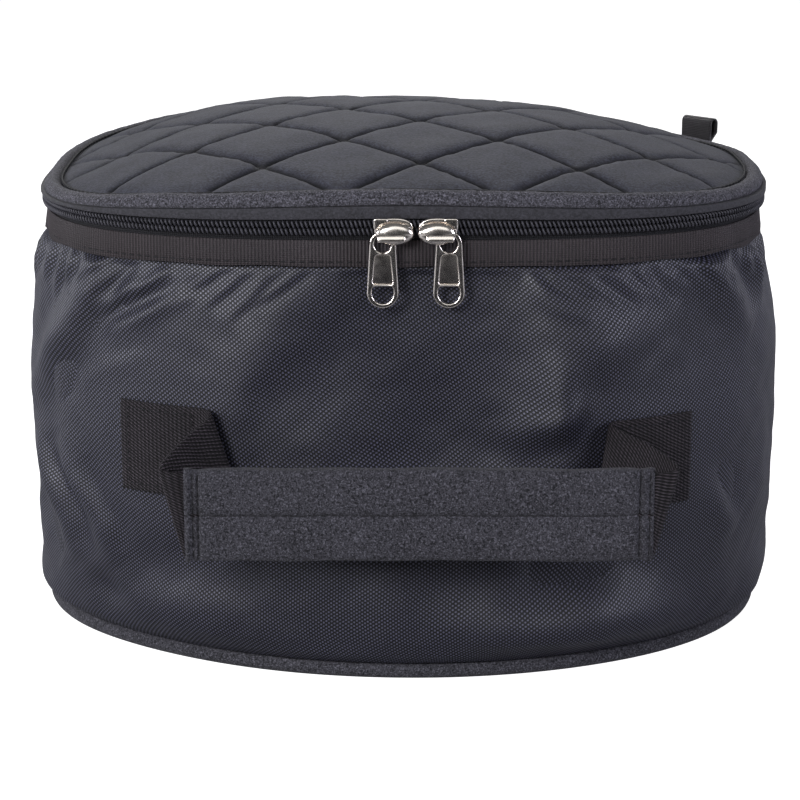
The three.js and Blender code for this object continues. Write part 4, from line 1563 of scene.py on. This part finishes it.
    def border_seam(self) -> None:
        """Stitches in the ditch between the quilted panel and the border, so long, close and thick that their
        dark thread also paints a line of shade along the seam.
        """
        angle = PATH.angle(PATH.around(self.seam_columns))
        x, y = RIM.at(angle, -self.border_width - self.seam_inset)
        line = STANCE.twisted(x, y, self.height(x, y) + self.seam_rise)
        self.seam_stitch.row("border_seam_stitches", line, UPWARDS)

    def border(self) -> bpy.types.Object:
        """Soft felt roll between the panel and the band.

        Returns:
            The new object.
        """
        knots = np.array(self.border_profile)
        turns = np.linspace(0, 1, self.border_points, endpoint=False) * len(knots)
        profile = curve_through(knots, turns, True)
        runs = PATH.around(self.columns)
        rings = np.repeat(profile[None], self.columns, axis=0)
        nap = self.border_nap.at(runs[:, None], profile[None, :, 0] * 3)
        swell = self.border_swell.at(runs)[:, None] + nap
        rings[..., 1] += swell * smoothstep(profile[:, 1], *self.border_top)
        return swept_object("felt_border", rim_rings(runs, rings), True)

    def band(self) -> bpy.types.Object:
        """Plain band between the border and the zip.

        Returns:
            The new object.
        """
        runs = PATH.around(self.columns)
        profile = rounded_slab(*self.band_offsets, *self.band_heights, self.band_round, steps=4)
        rings = np.repeat(profile[None], self.columns, axis=0)
        swell = self.band_swell * side_swell(runs) + self.band_wave.at(runs)
        rings[..., 0] += swell[:, None] * smoothstep(profile[:, 0], *self.band_outer)
        return swept_object("lid_band_cloth", rim_rings(runs, rings), True)

    def loop(self) -> bpy.types.Object:
        """Ribbon folded into a loop that stands up outside the border.

        Returns:
            The new object.
        """
        middle, top, radius = self.loop_bend
        turns = np.linspace(self.bend_trim, math.pi - self.bend_trim, self.bend_points)
        bend = [(middle - radius * math.cos(a), top + radius * math.sin(a)) for a in turns]
        line = np.array([*self.loop_inner, *bend, *self.loop_outer])
        ahead = unit(np.gradient(line, axis=0))
        across = np.linspace(-1, 1, self.loop_points)
        wide = (self.loop_half_width * np.concatenate([across, across[::-1]]))[:, None]
        thick = np.repeat([self.loop_half_thick, -self.loop_half_thick], self.loop_points)[:, None]
        angle = math.radians(self.loop_faces)
        out = np.array([math.cos(angle), math.sin(angle)])
        tangent = np.array([-out[1], out[0]])
        foot = RIM.at(np.array(math.radians(self.loop_at)), self.loop_offset)
        foot = STANCE.twisted(*foot, np.array(self.loop_inner[0][1]))[:2]
        rings = []
        for (offset, z), (outwards, upwards) in zip(line, ahead):
            flat = foot + out * offset + wide * tangent + out * upwards * thick
            rings.append(np.column_stack([flat, z - outwards * thick]))
        return swept_object("ribbon_loop_fold", np.array(rings), False)

    def build(self) -> None:
        """Builds, dresses and settles every piece of the lid."""
        panel = settle(self.panel(), QUILT, ["lid_panel"])
        self.quilting()
        self.border_seam()
        border = settle(self.border(), BORDER_FELT_PAINTED_LIGHTER, ["lid_border"])
        settle(self.band(), TRIM, ["lid_band"])
        settle(self.loop(), RIBBON, ["ribbon_loop"])


def on_front(local: np.ndarray, x: float, z: float, side: int) -> np.ndarray:
    """Moves points of local X, height and distance out of the bag onto the front of the rim."""
    return np.column_stack([x + side * local[:, 0], -RIM.half_depth - local[:, 2], z + local[:, 1]])


def oval_stack(
    middle: Span, half_size: Span, square: float, rows: Sequence[Span], sides: int = 32
) -> np.ndarray:
    """Rings of a stack of ovals that stands out of the bag.

    Args:
        middle: Middle of the ovals, from the slider's nose and above the middle of the zip.
        half_size: Half their length and half their height.
        square: 2 for an ellipse, and more for squarer corners.
        rows: Scale of each oval and its distance out of the bag.
        sides: Points of each oval.

    Returns:
        Rings by points by local X, height and distance out.
    """
    turns = np.linspace(0, FULL_TURN, sides, endpoint=False)
    flat = np.column_stack([np.cos(turns), np.sin(turns)])
    flat = np.array(half_size) * np.sign(flat) * np.abs(flat) ** (2 / square)
    return np.array([np.column_stack([middle + flat * k, np.full(sides, out)]) for k, out in rows])


def turned_outwards(piece: bpy.types.Object) -> None:
    """Turns all faces of a piece outwards.

    Args:
        piece: The piece, whose parts are closed.
    """
    bpy.context.view_layer.objects.active = piece
    piece.select_set(True)
    bpy.ops.object.mode_set(mode="EDIT")
    bpy.ops.mesh.select_all(action="SELECT")
    bpy.ops.mesh.normals_make_consistent(inside=False)
    bpy.ops.object.mode_set(mode="OBJECT")
    piece.select_set(False)


def cut_plate(
    outlines: Sequence[Sequence[Span]], thickness: float, bevel: float, out: float
) -> tuple[np.ndarray, list[list[int]]]:
    """A flat plate with round edges from an outline and the holes in it.

    Args:
        outlines: The outer outline, then each hole, as points in millimetres.
        thickness: Thickness of the plate.
        bevel: Radius of its edges.
        out: How far its back stands out of the bag.

    Returns:
        Points of local X, height and distance out of the bag, and the faces between them.
    """
    curve = bpy.data.curves.new("plate", "CURVE")
    curve.dimensions = "2D"
    curve.fill_mode = "BOTH"
    curve.extrude = thickness / 2 - bevel
    curve.bevel_depth = bevel
    curve.bevel_resolution = 3
    curve.offset = -bevel
    for outline in outlines:
        spline = curve.splines.new("POLY")
        spline.points.add(len(outline) - 1)
        places = [(x, y, 0.0, 1.0) for x, y in outline]
        spline.points.foreach_set("co", np.array(places).ravel())
        spline.use_cyclic_u = True
    holder = bpy.data.objects.new("plate", curve)
    bpy.context.collection.objects.link(holder)
    bpy.context.view_layer.update()
    mesh = bpy.data.meshes.new_from_object(holder.evaluated_get(bpy.context.evaluated_depsgraph_get()))
    bpy.data.objects.remove(holder)
    points = np.array([vertex.co[:] for vertex in mesh.vertices]) + [0, 0, out + thickness / 2]
    faces = [list(polygon.vertices) for polygon in mesh.polygons]
    bpy.data.meshes.remove(mesh)
    return points, faces


def arc(y: float, radius: float, start: float, end: float, steps: int = 14) -> list[Span]:
    """Points of an arc about a middle on the Y axis, with angles in degrees."""
    turns = np.radians(np.linspace(start, end, steps))
    return [(radius * math.cos(turn), y + radius * math.sin(turn)) for turn in turns]


@dataclass
class Zip:
    """The zip: cloth tapes, meshed coil, cloth hinge, and two sliders with their pulls."""

    hinge_half_angle: float = 24.0
    hinge_gap: float = 0.4
    hinge_columns: int = 40
    tape_face: float = -2.3
    tape_back: float = -3.2
    tape_round: float = 0.3
    tape_step: float = 2.0
    lower_tape: Span = (181.3, 189.3)
    upper_tape: Span = (189.7, 196.5)
    pitch: float = 1.8
    thread: float = 0.4
    thread_sides: int = 6
    thread_end: float = 0.7
    middle: float = 189.5
    coil_swell: float = 0.8
    slider_middle: float = 4.8
    nose_gap: float = 1.2
    pin_from_nose: float = 12.6
    pin_z: float = 186.2
    rounding: int = 2
    bar_up: float = -2.2
    bar_out: float = 5.4
    pull_eye: float = -1.8
    pull_end: float = -21.4
    pull_overlap: float = 1.06
    weld: float = 1e-6
    split_angle: float = 35.0
    tooth: tuple[tuple[float, float, float], ...] = (
        (-0.30, -1.4, 2.0),
        (-0.32, -0.6, 2.3),
        (-0.26, 0.0, 2.1),
        (-0.12, 0.22, 1.5),
        (0.04, 0.2, 0.85),
        (0.16, -0.15, 0.35),
        (0.2, -0.9, 0.2),
    )
    cap_rows: tuple[Span, ...] = (
        (0.94, 4.85), (1.0, 5.05), (0.99, 5.4), (0.93, 5.95), (0.8, 6.5), (0.6, 6.95), (0.35, 7.2),
        (0.1, 7.3),
    )
    bar_profile: tuple[Span, ...] = (
        (1.2, 5.4), (1.75, 6.4), (1.5, 7.1), (0.6, 7.75), (-0.6, 8.2), (-1.4, 8.1), (-1.7, 7.4),
        (-1.5, 5.4),
    )
    bar_ends: tuple[Span, ...] = (
        (3.4, 0.75), (3.9, 0.96), (5.0, 1.0), (9.0, 1.0), (13.2, 1.0), (14.4, 0.96), (14.8, 0.75)
    )

    def ends(self) -> Span:
        """Runs at which the zip starts and ends, on both sides of the cloth hinge."""
        return PATH.run(90 + self.hinge_half_angle - 360), PATH.run(90 - self.hinge_half_angle)

    def runs(self, step: float) -> np.ndarray:
        """Runs along the zip, from one end of the cloth hinge round the front to the other."""
        start, end = self.ends()
        return np.linspace(start, end, round((end - start) / step) + 1)

    def tape_profile(self, low: float, high: float) -> np.ndarray:
        """Profile of a cloth tape between two heights."""
        return rounded_slab(self.tape_face, self.tape_back, low, high, self.tape_round)

    def tapes(self) -> None:
        """The two cloth tapes and the hinge strip that closes the ring at the back."""
        runs = self.runs(self.tape_step)
        for name, heights in (("zip_tape_lower", self.lower_tape), ("zip_tape_upper", self.upper_tape)):
            rings = rim_rings(runs, self.tape_profile(*heights))
            settle(swept_object(name + "_cloth", rings, False), ZIP_CLOTH, [name])
        half = PATH.length / 2
        start, end = self.ends()
        back = np.linspace(end + self.hinge_gap, half, self.hinge_columns)
        front = np.linspace(-half, start - self.hinge_gap, self.hinge_columns)[1:]
        profile = self.tape_profile(self.lower_tape[0], self.upper_tape[1])
        rings = rim_rings(np.concatenate([back, front]), profile)
        settle(swept_object("hinge_cloth", rings, False), ZIP_CLOTH, ["hinge_strip"])

    def loop_tube(self) -> np.ndarray:
        """Rings of one loop of the coil.

        Returns:
            Points by run, distance out of the rim and height above the zip's middle.
        """
        path = np.array(self.tooth) * [self.pitch, 1, 1]
        ahead = unit(np.gradient(path, axis=0))
        side = unit(np.cross(ahead, [0.0, 1.0, 0.25]))
        rise = np.cross(ahead, side)
        turns = (np.arange(self.thread_sides) * FULL_TURN / self.thread_sides)[None, :, None]
        radius = np.full((len(path), 1, 1), self.thread)
        radius[[0, -1]] *= self.thread_end
        return path[:, None] + radius * (np.cos(turns) * side[:, None] + np.sin(turns) * rise[:, None])

    def coil(self) -> bpy.types.Object:
        """Two rows of coil loops that mesh in the middle, as one mesh of bent threads.

        Returns:
            The new object.
        """
        tube = self.loop_tube()
        quads, _ = swept_faces(tube, False)
        faces = quads.tolist() + list(end_rings(tube))
        local = tube.reshape(-1, 3)
        loops = Parcel()
        for shift, up in ((0.0, 1), (self.pitch / 2, -1)):
            for run in self.runs(self.pitch)[1:-1] + shift:
                angle = PATH.angle(run + local[:, 0] * up)
                x, y = RIM.at(angle, local[:, 1] + self.coil_swell * side_swell(run))
                z = self.middle + up * local[:, 2]
                loops.add(STANCE.twisted(x, y, z + STANCE.lift(x, y, z)), faces)
        return loops.made("coil_loops")

    def slider(self, side: Side) -> bpy.types.Object:
        """A slider: plate over the coil, a domed cap on a neck, the bail's bar, and the pull's post.

        Args:
            side: Which of the two sliders.

        Returns:
            The new object.
        """
        pin = (self.pin_from_nose, self.pin_z - self.middle)
        foot = np.array([0.0, self.bar_out])
        bar = []
        for along, fat in self.bar_ends:
            flat = foot + (np.array(self.bar_profile) - foot) * fat + [self.bar_up, 0.0]
            bar.append(np.column_stack([np.full(len(flat), along), flat]))
        stacks = (
            oval_stack((8.2, 0.0), (7.9, 5.0), 2.6, ((1.0, 0.5), (1.0, 1.2), (0.96, 1.7), (0.85, 1.9))),
            oval_stack((7.8, -0.9), (7.6, 4.5), 1.9, self.cap_rows),
            oval_stack((3.4, -0.3), (2.7, 3.3), 2.0, ((1.0, 1.5), (0.9, 3.2), (1.0, 5.2))),
            oval_stack(pin, (1.1, 1.1), 2.0, ((1.0, 1.5), (1.0, 3.0), (1.0, 5.2))),
            oval_stack((13.4, 2.6), (2.9, 2.3), 6.0, ((1.0, 1.2), (1.0, 2.4), (0.9, 2.7))),
            np.array(bar),
        )
        x = self.slider_middle + side.value * self.nose_gap / 2
        parts = Parcel()
        for rings in stacks:
            placed = on_front(rings.reshape(-1, 3), x, self.middle, side.value)
            quads, _ = swept_faces(placed.reshape(rings.shape), False)
            parts.add(placed, quads.tolist() + list(end_rings(rings)))
        made = parts.made("slider_" + side.name.lower() + "_plated")
        turned_outwards(made)
        smooth = made.modifiers.new("rounding", "SUBSURF")
        smooth.levels = smooth.render_levels = self.rounding
        return made

    def pull(self, side: Side) -> bpy.types.Object:
        """A pull: rimmed plate with an eye over the slider's post, a sunken panel and a window.

        Args:
            side: Which of the two pulls.

        Returns:
            The new object.
        """
        eye, end = self.pull_eye, self.pull_end
        outer = arc(eye, 5.3, 0, 180) + arc(end, 6.4, 180, 360)
        eye_hole = arc(eye, 3.4, 0, 360, 29)[:-1]
        window = [(-4.2, end + 1.6), (-3.4, end + 2.5), (3.4, end + 2.5), (4.2, end + 1.6)]
        window += arc(end - 0.2, 4.3, 360, 180)
        panel = [(-3.0, eye - 5.2), (-2.4, eye - 4.5), (0, eye - 4.2), (2.4, eye - 4.5), (3.0, eye - 5.2)]
        panel += [(3.9, end + 4.0), (3.5, end + 3.5), (-3.5, end + 3.5), (-3.9, end + 4.0)]
        frame = cut_plate([outer, eye_hole, window, panel], thickness=1.8, bevel=0.6, out=2.8)
        wider = [(across * self.pull_overlap, up) for across, up in panel]
        floor = cut_plate([wider], thickness=0.9, bevel=0.1, out=3.0)
        x = self.slider_middle + side.value * (self.nose_gap / 2 + self.pin_from_nose)
        parts = Parcel()
        for local, faces in (frame, floor):
            parts.add(on_front(local, x, self.pin_z, 1), faces)
        made = parts.made("pull_" + side.name.lower() + "_plated")
        weld = made.modifiers.new("weld", "WELD")
        weld.merge_threshold = self.weld
        turned_outwards(made)
        made.data.shade_smooth()
        sharp = made.modifiers.new("edges", "EDGE_SPLIT")
        sharp.split_angle = math.radians(self.split_angle)
        return made

    def build(self) -> None:
        """Builds, dresses and settles every piece of the zip."""
        self.tapes()
        settle(self.coil(), COIL, ["zip_coil"])
        for side, body in ((Side.LEFT, Body.PULL_LEFT), (Side.RIGHT, Body.PULL_RIGHT)):
            settle(self.slider(side), NICKEL, ["slider_" + side.name.lower()])
            settle(self.pull(side), NICKEL, ["pull_" + side.name.lower()], body)


@dataclass(frozen=True)
class StrapEnd:
    """One end of the strap: its side, its place, its first bend, and the hems of the grip beside it."""

    side: Side
    move: float
    z: float
    further: float
    leaning: float
    hems: Span


@dataclass
class Handle:
    """The carry handle: one webbing strap sewn on at both ends, and a padded felt grip.

    A station of the strap is its distance from the middle, its distance out of the wall, how far it has sunk
    to the grip's height, its lean, its width, and how far it shares the grip's shift to the right.
    """

    thick: float = 1.8
    strap_points: int = 17
    strap_steps: int = 6
    strap_edge: float = 0.35
    strap_edge_power: float = 10.0
    grip_y: float = -174.0
    grip_z: float = 82.2
    grip_height: float = 37.4
    grip_thick: float = 7.6
    grip_half_length: float = 92.5
    grip_plain_half: float = 83.0
    grip_columns: int = 110
    grip_rows: int = 61
    grip_seam_rows: tuple[float, ...] = (0.015, 0.035, 0.06, 0.09)
    grip_square: float = 5.0
    grip_round: float = 0.2
    grip_shift: float = 6.0
    grip_seam: Span = (1.3, 0.8)
    grip_waist: Span = (0.45, 5.0)
    grip_lumps: Ripple = Ripple(0.22, 9, 71)
    grip_nap: Ripple = Ripple(0.1, 3.5, 72)
    grip_wave: Ripple = Ripple(0.35, 22, 73)
    hem_length: float = 9.0
    hem_draw: float = 1.5
    hem_width: float = 0.95
    hem_crisp: float = 1.4
    hem_columns: int = 46
    hem_thin: float = 0.2
    hem_thin_ends: Span = (4.0, 12.0)
    lip_thin: float = 0.45
    lip_ends: Span = (-0.2, 1.4)
    flares: tuple[tuple[float, float, float], ...] = ((0.03, 1.5, 1.6), (-0.012, 6.0, 2.0))
    hem_stitch: Stitch = Stitch(2.2, 1.3)
    seam_stitch: Stitch = Stitch(2.6, 1.3)
    patch_stitch: Stitch = Stitch(2.4, 1.3)
    stitch_points: int = 60
    stitch_proud: float = 0.1
    hem_stitch_proud: float = 0.12
    hem_stitch_reach: float = 0.93
    seam_stitch_trim: float = 6.0
    patch_points: int = 24
    patch_proud: float = 0.02
    patch_corners: tuple[Span, ...] = ((113.5, -16), (113.5, 16), (86, 16), (86, -16), (113.5, -16))
    wall_width: float = 167.8
    wall_depth: float = 147.2
    wall_square: float = 2.55
    sewn_out: float = 1.3
    bent_out: float = 4.0
    free_out: float = 34.0
    ends: tuple[StrapEnd, StrapEnd] = (
        StrapEnd(Side.LEFT, 0.0, 97.4, 0.0, 1.0, (3.3, 5.5)),
        StrapEnd(Side.RIGHT, 2.4, 91.6, 7.0, 0.3, (1.7, 5.6)),
    )
    stations: tuple[tuple[float, float, float, float, float, float], ...] = (
        (116, 1.3, 0, 0, 38, 0),
        (104, 1.3, 0, 0, 38, 0),
        (93, 1.3, 0, 0, 38, 0),
        (84, 1.3, 0, 0, 38, 0),
        (76, 2.6, 0.02, 6, 38, 0.05),
        (73, 5.6, 0.08, 12.5, 38, 0.2),
        (76.4, 9.4, 0.2, 12, 38, 0.4),
        (83, 14.4, 0.4, 11.2, 38, 0.6),
        (91, 21.5, 0.66, 10.4, 38, 0.85),
        (95.6, 27.2, 0.85, 9.8, 37.4, 0.97),
        (97.2, 30.4, 0.95, 9.6, 36.4, 1),
        (95.8, 32.6, 0.985, 7.6, 35, 1),
        (92.6, 33.6, 1, 3.6, 33.8, 1),
        (88.5, 34, 1, 0.6, 33, 1),
        (60, 34, 1, 0, 33, 1),
        (30, 34, 1, 0, 33, 1),
    )

    def wall_front(self, x: float) -> float:
        """How far forward the wall stands at x, where the strap is sewn on."""
        share = abs(x / self.wall_width) ** self.wall_square
        return self.wall_depth * (1 - share) ** (1 / self.wall_square)

    def route(self) -> np.ndarray:
        """Stations of the whole strap, from the left end to the right end.

        Returns:
            X, Y, Z, lean and width of each station.
        """
        rows = []
        for end in self.ends:
            half = []
            for x, out, sink, lean, width, shift in self.stations:
                bend = float(smoothstep(out, self.sewn_out, self.bent_out)) * (1 - shift)
                lean *= 1 - (1 - end.leaning) * bend
                px = end.side.value * (x + end.further * bend)
                px += end.move * (1 - shift) + self.grip_shift * shift
                free = float(smoothstep(out, self.sewn_out, self.free_out)) ** 2
                py = (1 - free) * (-self.wall_front(px) - out) + free * self.grip_y
                half.append((px, py, end.z + (self.grip_z - end.z) * sink, end.side.value * lean / 2, width))
            rows += half if end.side is Side.LEFT else half[::-1]
        return np.array(rows)

    def strap(self) -> bpy.types.Object:
        """The webbing, folded back on itself beside the grip at both ends.

        Returns:
            The new object.
        """
        knots = self.route()
        last = len(knots) - 1
        line = curve_through(knots, np.linspace(0, last, self.strap_steps * last + 1), False)
        ahead = unit(np.gradient(line[:, :2], axis=0))
        up = np.linspace(-1, 1, self.strap_points)
        edge = 1 - self.strap_edge * np.abs(up) ** self.strap_edge_power
        ring_up = np.concatenate([up, up[::-1]])
        ring_out = np.concatenate([edge, -edge[::-1]]) * self.thick / 2
        x, y, z, lean, width = (column[:, None] for column in line.T)
        rings = [
            x + lean * ring_up + ahead[:, 1:] * ring_out,
            y - ahead[:, :1] * ring_out,
            z + width / 2 * ring_up,
        ]
        return swept_object("webbing_strap", np.stack(rings, -1), False)

    def grip_depth(self, x: np.ndarray, up: np.ndarray) -> np.ndarray:
        """How far the front of the grip stands out of its middle plane.

        Args:
            x: Distances from the grip's middle.
            up: Heights from -1 at its lower edge to 1 at its upper edge.

        Returns:
            Depths in millimetres.
        """
        sewn = np.zeros(np.broadcast(x, up).shape)
        for end in self.ends:
            for from_end in end.hems:
                away = np.abs(x - end.side.value * (self.grip_half_length - from_end))
                sewn = sewn + np.exp(-((away / self.hem_width) ** self.hem_crisp))
        from_end = smoothstep(self.grip_half_length - np.abs(x), *self.hem_thin_ends)
        swell = 1 - self.hem_thin + self.hem_thin * from_end
        z = up * self.grip_height / 2
        seam = self.grip_seam[0] * np.exp(-np.abs(z) / self.grip_seam[1])
        seam = seam + self.grip_waist[0] * gaussian(z / self.grip_waist[1])
        lobes = (1 - np.abs(up) ** self.grip_square) ** self.grip_round
        lumps = self.grip_lumps.at(x, z) + self.grip_nap.at(x, z)
        return (self.grip_thick / 2 * swell - seam - self.hem_draw * np.minimum(sewn, 1) + lumps) * lobes

    def grip(self) -> bpy.types.Object:
        """Padded felt sleeve: two rolls with a seam between them, and hemmed ends.

        Returns:
            The new object.
        """
        edge = np.linspace(0, self.hem_length, self.hem_columns)
        plain = np.linspace(-self.grip_plain_half, self.grip_plain_half, self.grip_columns)[1:-1]
        x = np.concatenate([edge - self.grip_half_length, plain, self.grip_half_length - edge[::-1]])
        across = np.sin(np.linspace(-0.5, 0.5, self.grip_rows) * math.pi)
        fine = np.array(self.grip_seam_rows)
        up = np.sort(np.concatenate([across, fine, -fine]))
        from_end = self.grip_half_length - np.abs(x)
        lip = (1 - self.lip_thin + self.lip_thin * smoothstep(from_end, *self.lip_ends))[:, None]
        front = self.grip_depth(x[:, None], up[None, :]) * lip
        back = self.grip_depth(x[:, None], up[None, ::-1]) * lip
        flare = sum(push * gaussian((from_end - place) / wide) for push, place, wide in self.flares)
        height = self.grip_height / 2 * (1 + flare)
        ring_up = np.concatenate([up, up[::-1]])
        rings = np.empty((len(x), len(ring_up), 3))
        rings[..., 0] = x[:, None] + self.grip_shift
        rings[..., 1] = self.grip_y - np.concatenate([front, -back], 1)
        rings[..., 2] = self.grip_z + ring_up * height[:, None] + self.grip_wave.at(x)[:, None]
        return swept_object("padded_grip", rings, False)

    def grip_line(self, x: np.ndarray, up: np.ndarray, proud: float) -> np.ndarray:
        """Points just off the front of the grip, at distances from its middle and heights from -1 to 1."""
        y = self.grip_y - self.grip_depth(x, up) - proud
        return np.column_stack([x + self.grip_shift, y, self.grip_z + up * self.grip_height / 2])

    def grip_stitches(self) -> None:
        """Stitch columns of both hems, and the row along the seam between the rolls."""
        across = np.linspace(-1, 1, self.stitch_points)
        for end in self.ends:
            for number, from_end in enumerate(end.hems):
                x = np.full_like(across, end.side.value * (self.grip_half_length - from_end))
                name = f"hem_stitches_{end.side.name.lower()}_{number + 1}"
                line = self.grip_line(x, self.hem_stitch_reach * across, self.hem_stitch_proud)
                self.hem_stitch.row(name, line, FORWARDS)
        x = across * (self.grip_half_length - self.seam_stitch_trim)
        line = self.grip_line(x, np.zeros_like(across), self.stitch_proud)
        self.seam_stitch.row("grip_seam_stitches", line, FORWARDS)

    def patch_stitches(self) -> None:
        """Box of stitches round each sewn-on end of the strap."""
        for end in self.ends:
            points = []
            for (x0, z0), (x1, z1) in zip(self.patch_corners[:-1], self.patch_corners[1:]):
                for share in np.linspace(0, 1, self.patch_points, endpoint=False):
                    x = end.side.value * (x0 + (x1 - x0) * share) + end.move
                    y = -self.wall_front(x) - self.sewn_out - self.thick / 2 - self.patch_proud
                    points.append((x, y, end.z + z0 + (z1 - z0) * share))
            line = np.array(points + points[:1])
            self.patch_stitch.row(f"patch_stitches_{end.side.name.lower()}", line, FORWARDS)

    def build(self) -> None:
        """Builds, dresses and settles the handle."""
        settle(self.strap(), WEBBING, ["handle_strap"])
        self.patch_stitches()
        self.grip_stitches()
        grip = settle(self.grip(), FELT, ["handle_grip"])


@dataclass(frozen=True)
class Softbox:
    """A studio light: where it stands, what it points at, its size and its power, in metres and watts."""

    name: str
    place: tuple[float, float, float]
    aim: tuple[float, float, float]
    size: Span
    watts: float
    colour: Colour = (1.0, 1.0, 1.0)

    def facing(self) -> tuple[float, float, float]:
        """Rotation that points the lamp's -Z at its aim."""
        x, y, z = np.array(self.aim) - np.array(self.place)
        return math.atan2(math.hypot(x, y), -z), 0.0, math.atan2(y, x) - math.pi / 2

    def build(self) -> None:
        """Sets up the lamp."""
        lamp = bpy.data.lights.new(self.name, "AREA")
        lamp.shape = "RECTANGLE"
        lamp.size, lamp.size_y = self.size
        lamp.energy = self.watts
        lamp.color = self.colour
        held = bpy.data.objects.new(self.name, lamp)
        bpy.context.collection.objects.link(held)
        held.location = self.place
        held.rotation_euler = self.facing()


@dataclass
class Studio:
    """Pale floor, soft light and the photograph's camera."""

    distance: float = 1.130
    elevation: float = 14.25
    target: tuple[float, float, float] = (-0.0015, 0.0, 0.0846)
    focal_pixels: float = 2440.0
    frame_pixels: float = 800.0
    sensor: float = 36.0
    farthest: float = 50.0
    floor_radius: float = 15000.0
    floor_sides: int = 96
    sky_heights: Span = (0.05, 0.75)
    sky_strengths: Span = (0.035, 0.16)
    boxes: tuple[Softbox, ...] = (
        Softbox("left_box", (-1.5, -0.5, 0.55), (0.0, -0.05, 0.1), (0.5, 0.5), 12.5, (0.92, 0.93, 1.0)),
        Softbox("key_box", (-0.7, -1.35, 0.72), (0.0, -0.05, 0.1), (0.5, 0.4), 13.8, (0.97, 0.97, 1.0)),
        Softbox("top_box", (-0.1, 1.15, 1.3), (0.0, 0.0, 0.2), (0.9, 0.6), 13.0),
        Softbox("front_box", (0.2, -1.35, 1.1), (0.0, 0.0, 0.15), (1.3, 0.8), 3.5),
        Softbox("right_box", (1.35, -0.8, 0.6), (0.0, 0.0, 0.1), (0.4, 0.7), 10.5, (0.84, 0.85, 1.0)),
        Softbox("left_rim", (-1.25, 0.75, 0.4), (0.0, 0.0, 0.1), (0.4, 0.6), 4.0, (0.94, 0.95, 1.0)),
        Softbox("right_rim", (1.25, 0.75, 0.4), (0.0, 0.0, 0.1), (0.4, 0.6), 3.0, (0.88, 0.88, 1.0)),
    )

    def camera(self) -> None:
        """Camera at the photograph's height and distance, with its lens."""
        lens = bpy.data.cameras.new("camera")
        lens.sensor_width = self.sensor
        lens.lens = self.focal_pixels / self.frame_pixels * self.sensor
        lens.clip_end = self.farthest
        eye = bpy.data.objects.new("camera", lens)
        bpy.context.collection.objects.link(eye)
        tilt = math.radians(self.elevation)
        eye.location = (
            self.target[0],
            self.target[1] - self.distance * math.cos(tilt),
            self.target[2] + self.distance * math.sin(tilt),
        )
        eye.rotation_euler = (math.pi / 2 - tilt, 0, 0)
        bpy.context.scene.camera = eye
        bpy.context.scene.view_settings.view_transform = "Standard"
        bpy.context.scene.view_settings.look = "None"

    def floor(self) -> None:
        """Large pale disc under the bag."""
        turns = np.linspace(0, FULL_TURN, self.floor_sides, endpoint=False)
        rim = self.floor_radius * np.column_stack([np.cos(turns), np.sin(turns), np.zeros_like(turns)])
        made = mesh_object("studio_floor", rim, [list(range(self.floor_sides))])
        made.data.materials.append(FLOOR.material())

    def sky(self) -> None:
        """World light: white for the camera, and for the bag a soft dome brightest overhead."""
        world = bpy.data.worlds.new("studio_sky")
        bpy.context.scene.world = world
        book = NodeBook(world)
        names = ("From Min", "From Max", "To Min", "To Max")
        ramp = dict(zip(names, (*self.sky_heights, *self.sky_strengths)))
        height = book.axis(book.place("Generated"), "Z")
        strength = book.node("ShaderNodeMapRange", {}, {"Value": height, **ramp})
        glow = book.node("ShaderNodeBackground", {}, {"Strength": strength})
        plain = book.node("ShaderNodeBackground", {}, {"Color": (1, 1, 1, 1)})
        pick = book.node("ShaderNodeMixShader", {}, {0: book.ray("Is Camera Ray"), 1: glow, 2: plain})
        book.node("ShaderNodeOutputWorld", {}, {"Surface": pick})

    def build(self) -> None:
        """Sets up the camera, the floor and the lights."""
        self.camera()
        self.floor()
        for box in self.boxes:
            box.build()
        self.sky()


def main() -> None:
    """Loads the frame and builds the bag and its studio round it."""
    logging.basicConfig(level=logging.INFO, format="%(name)s %(message)s")
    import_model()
    for assembly in (Studio(), Drum(), Lid(), Zip(), Handle()):
        LOG.info("building %s", type(assembly).__name__)
        assembly.build()


if __name__ == "__main__":
    main()
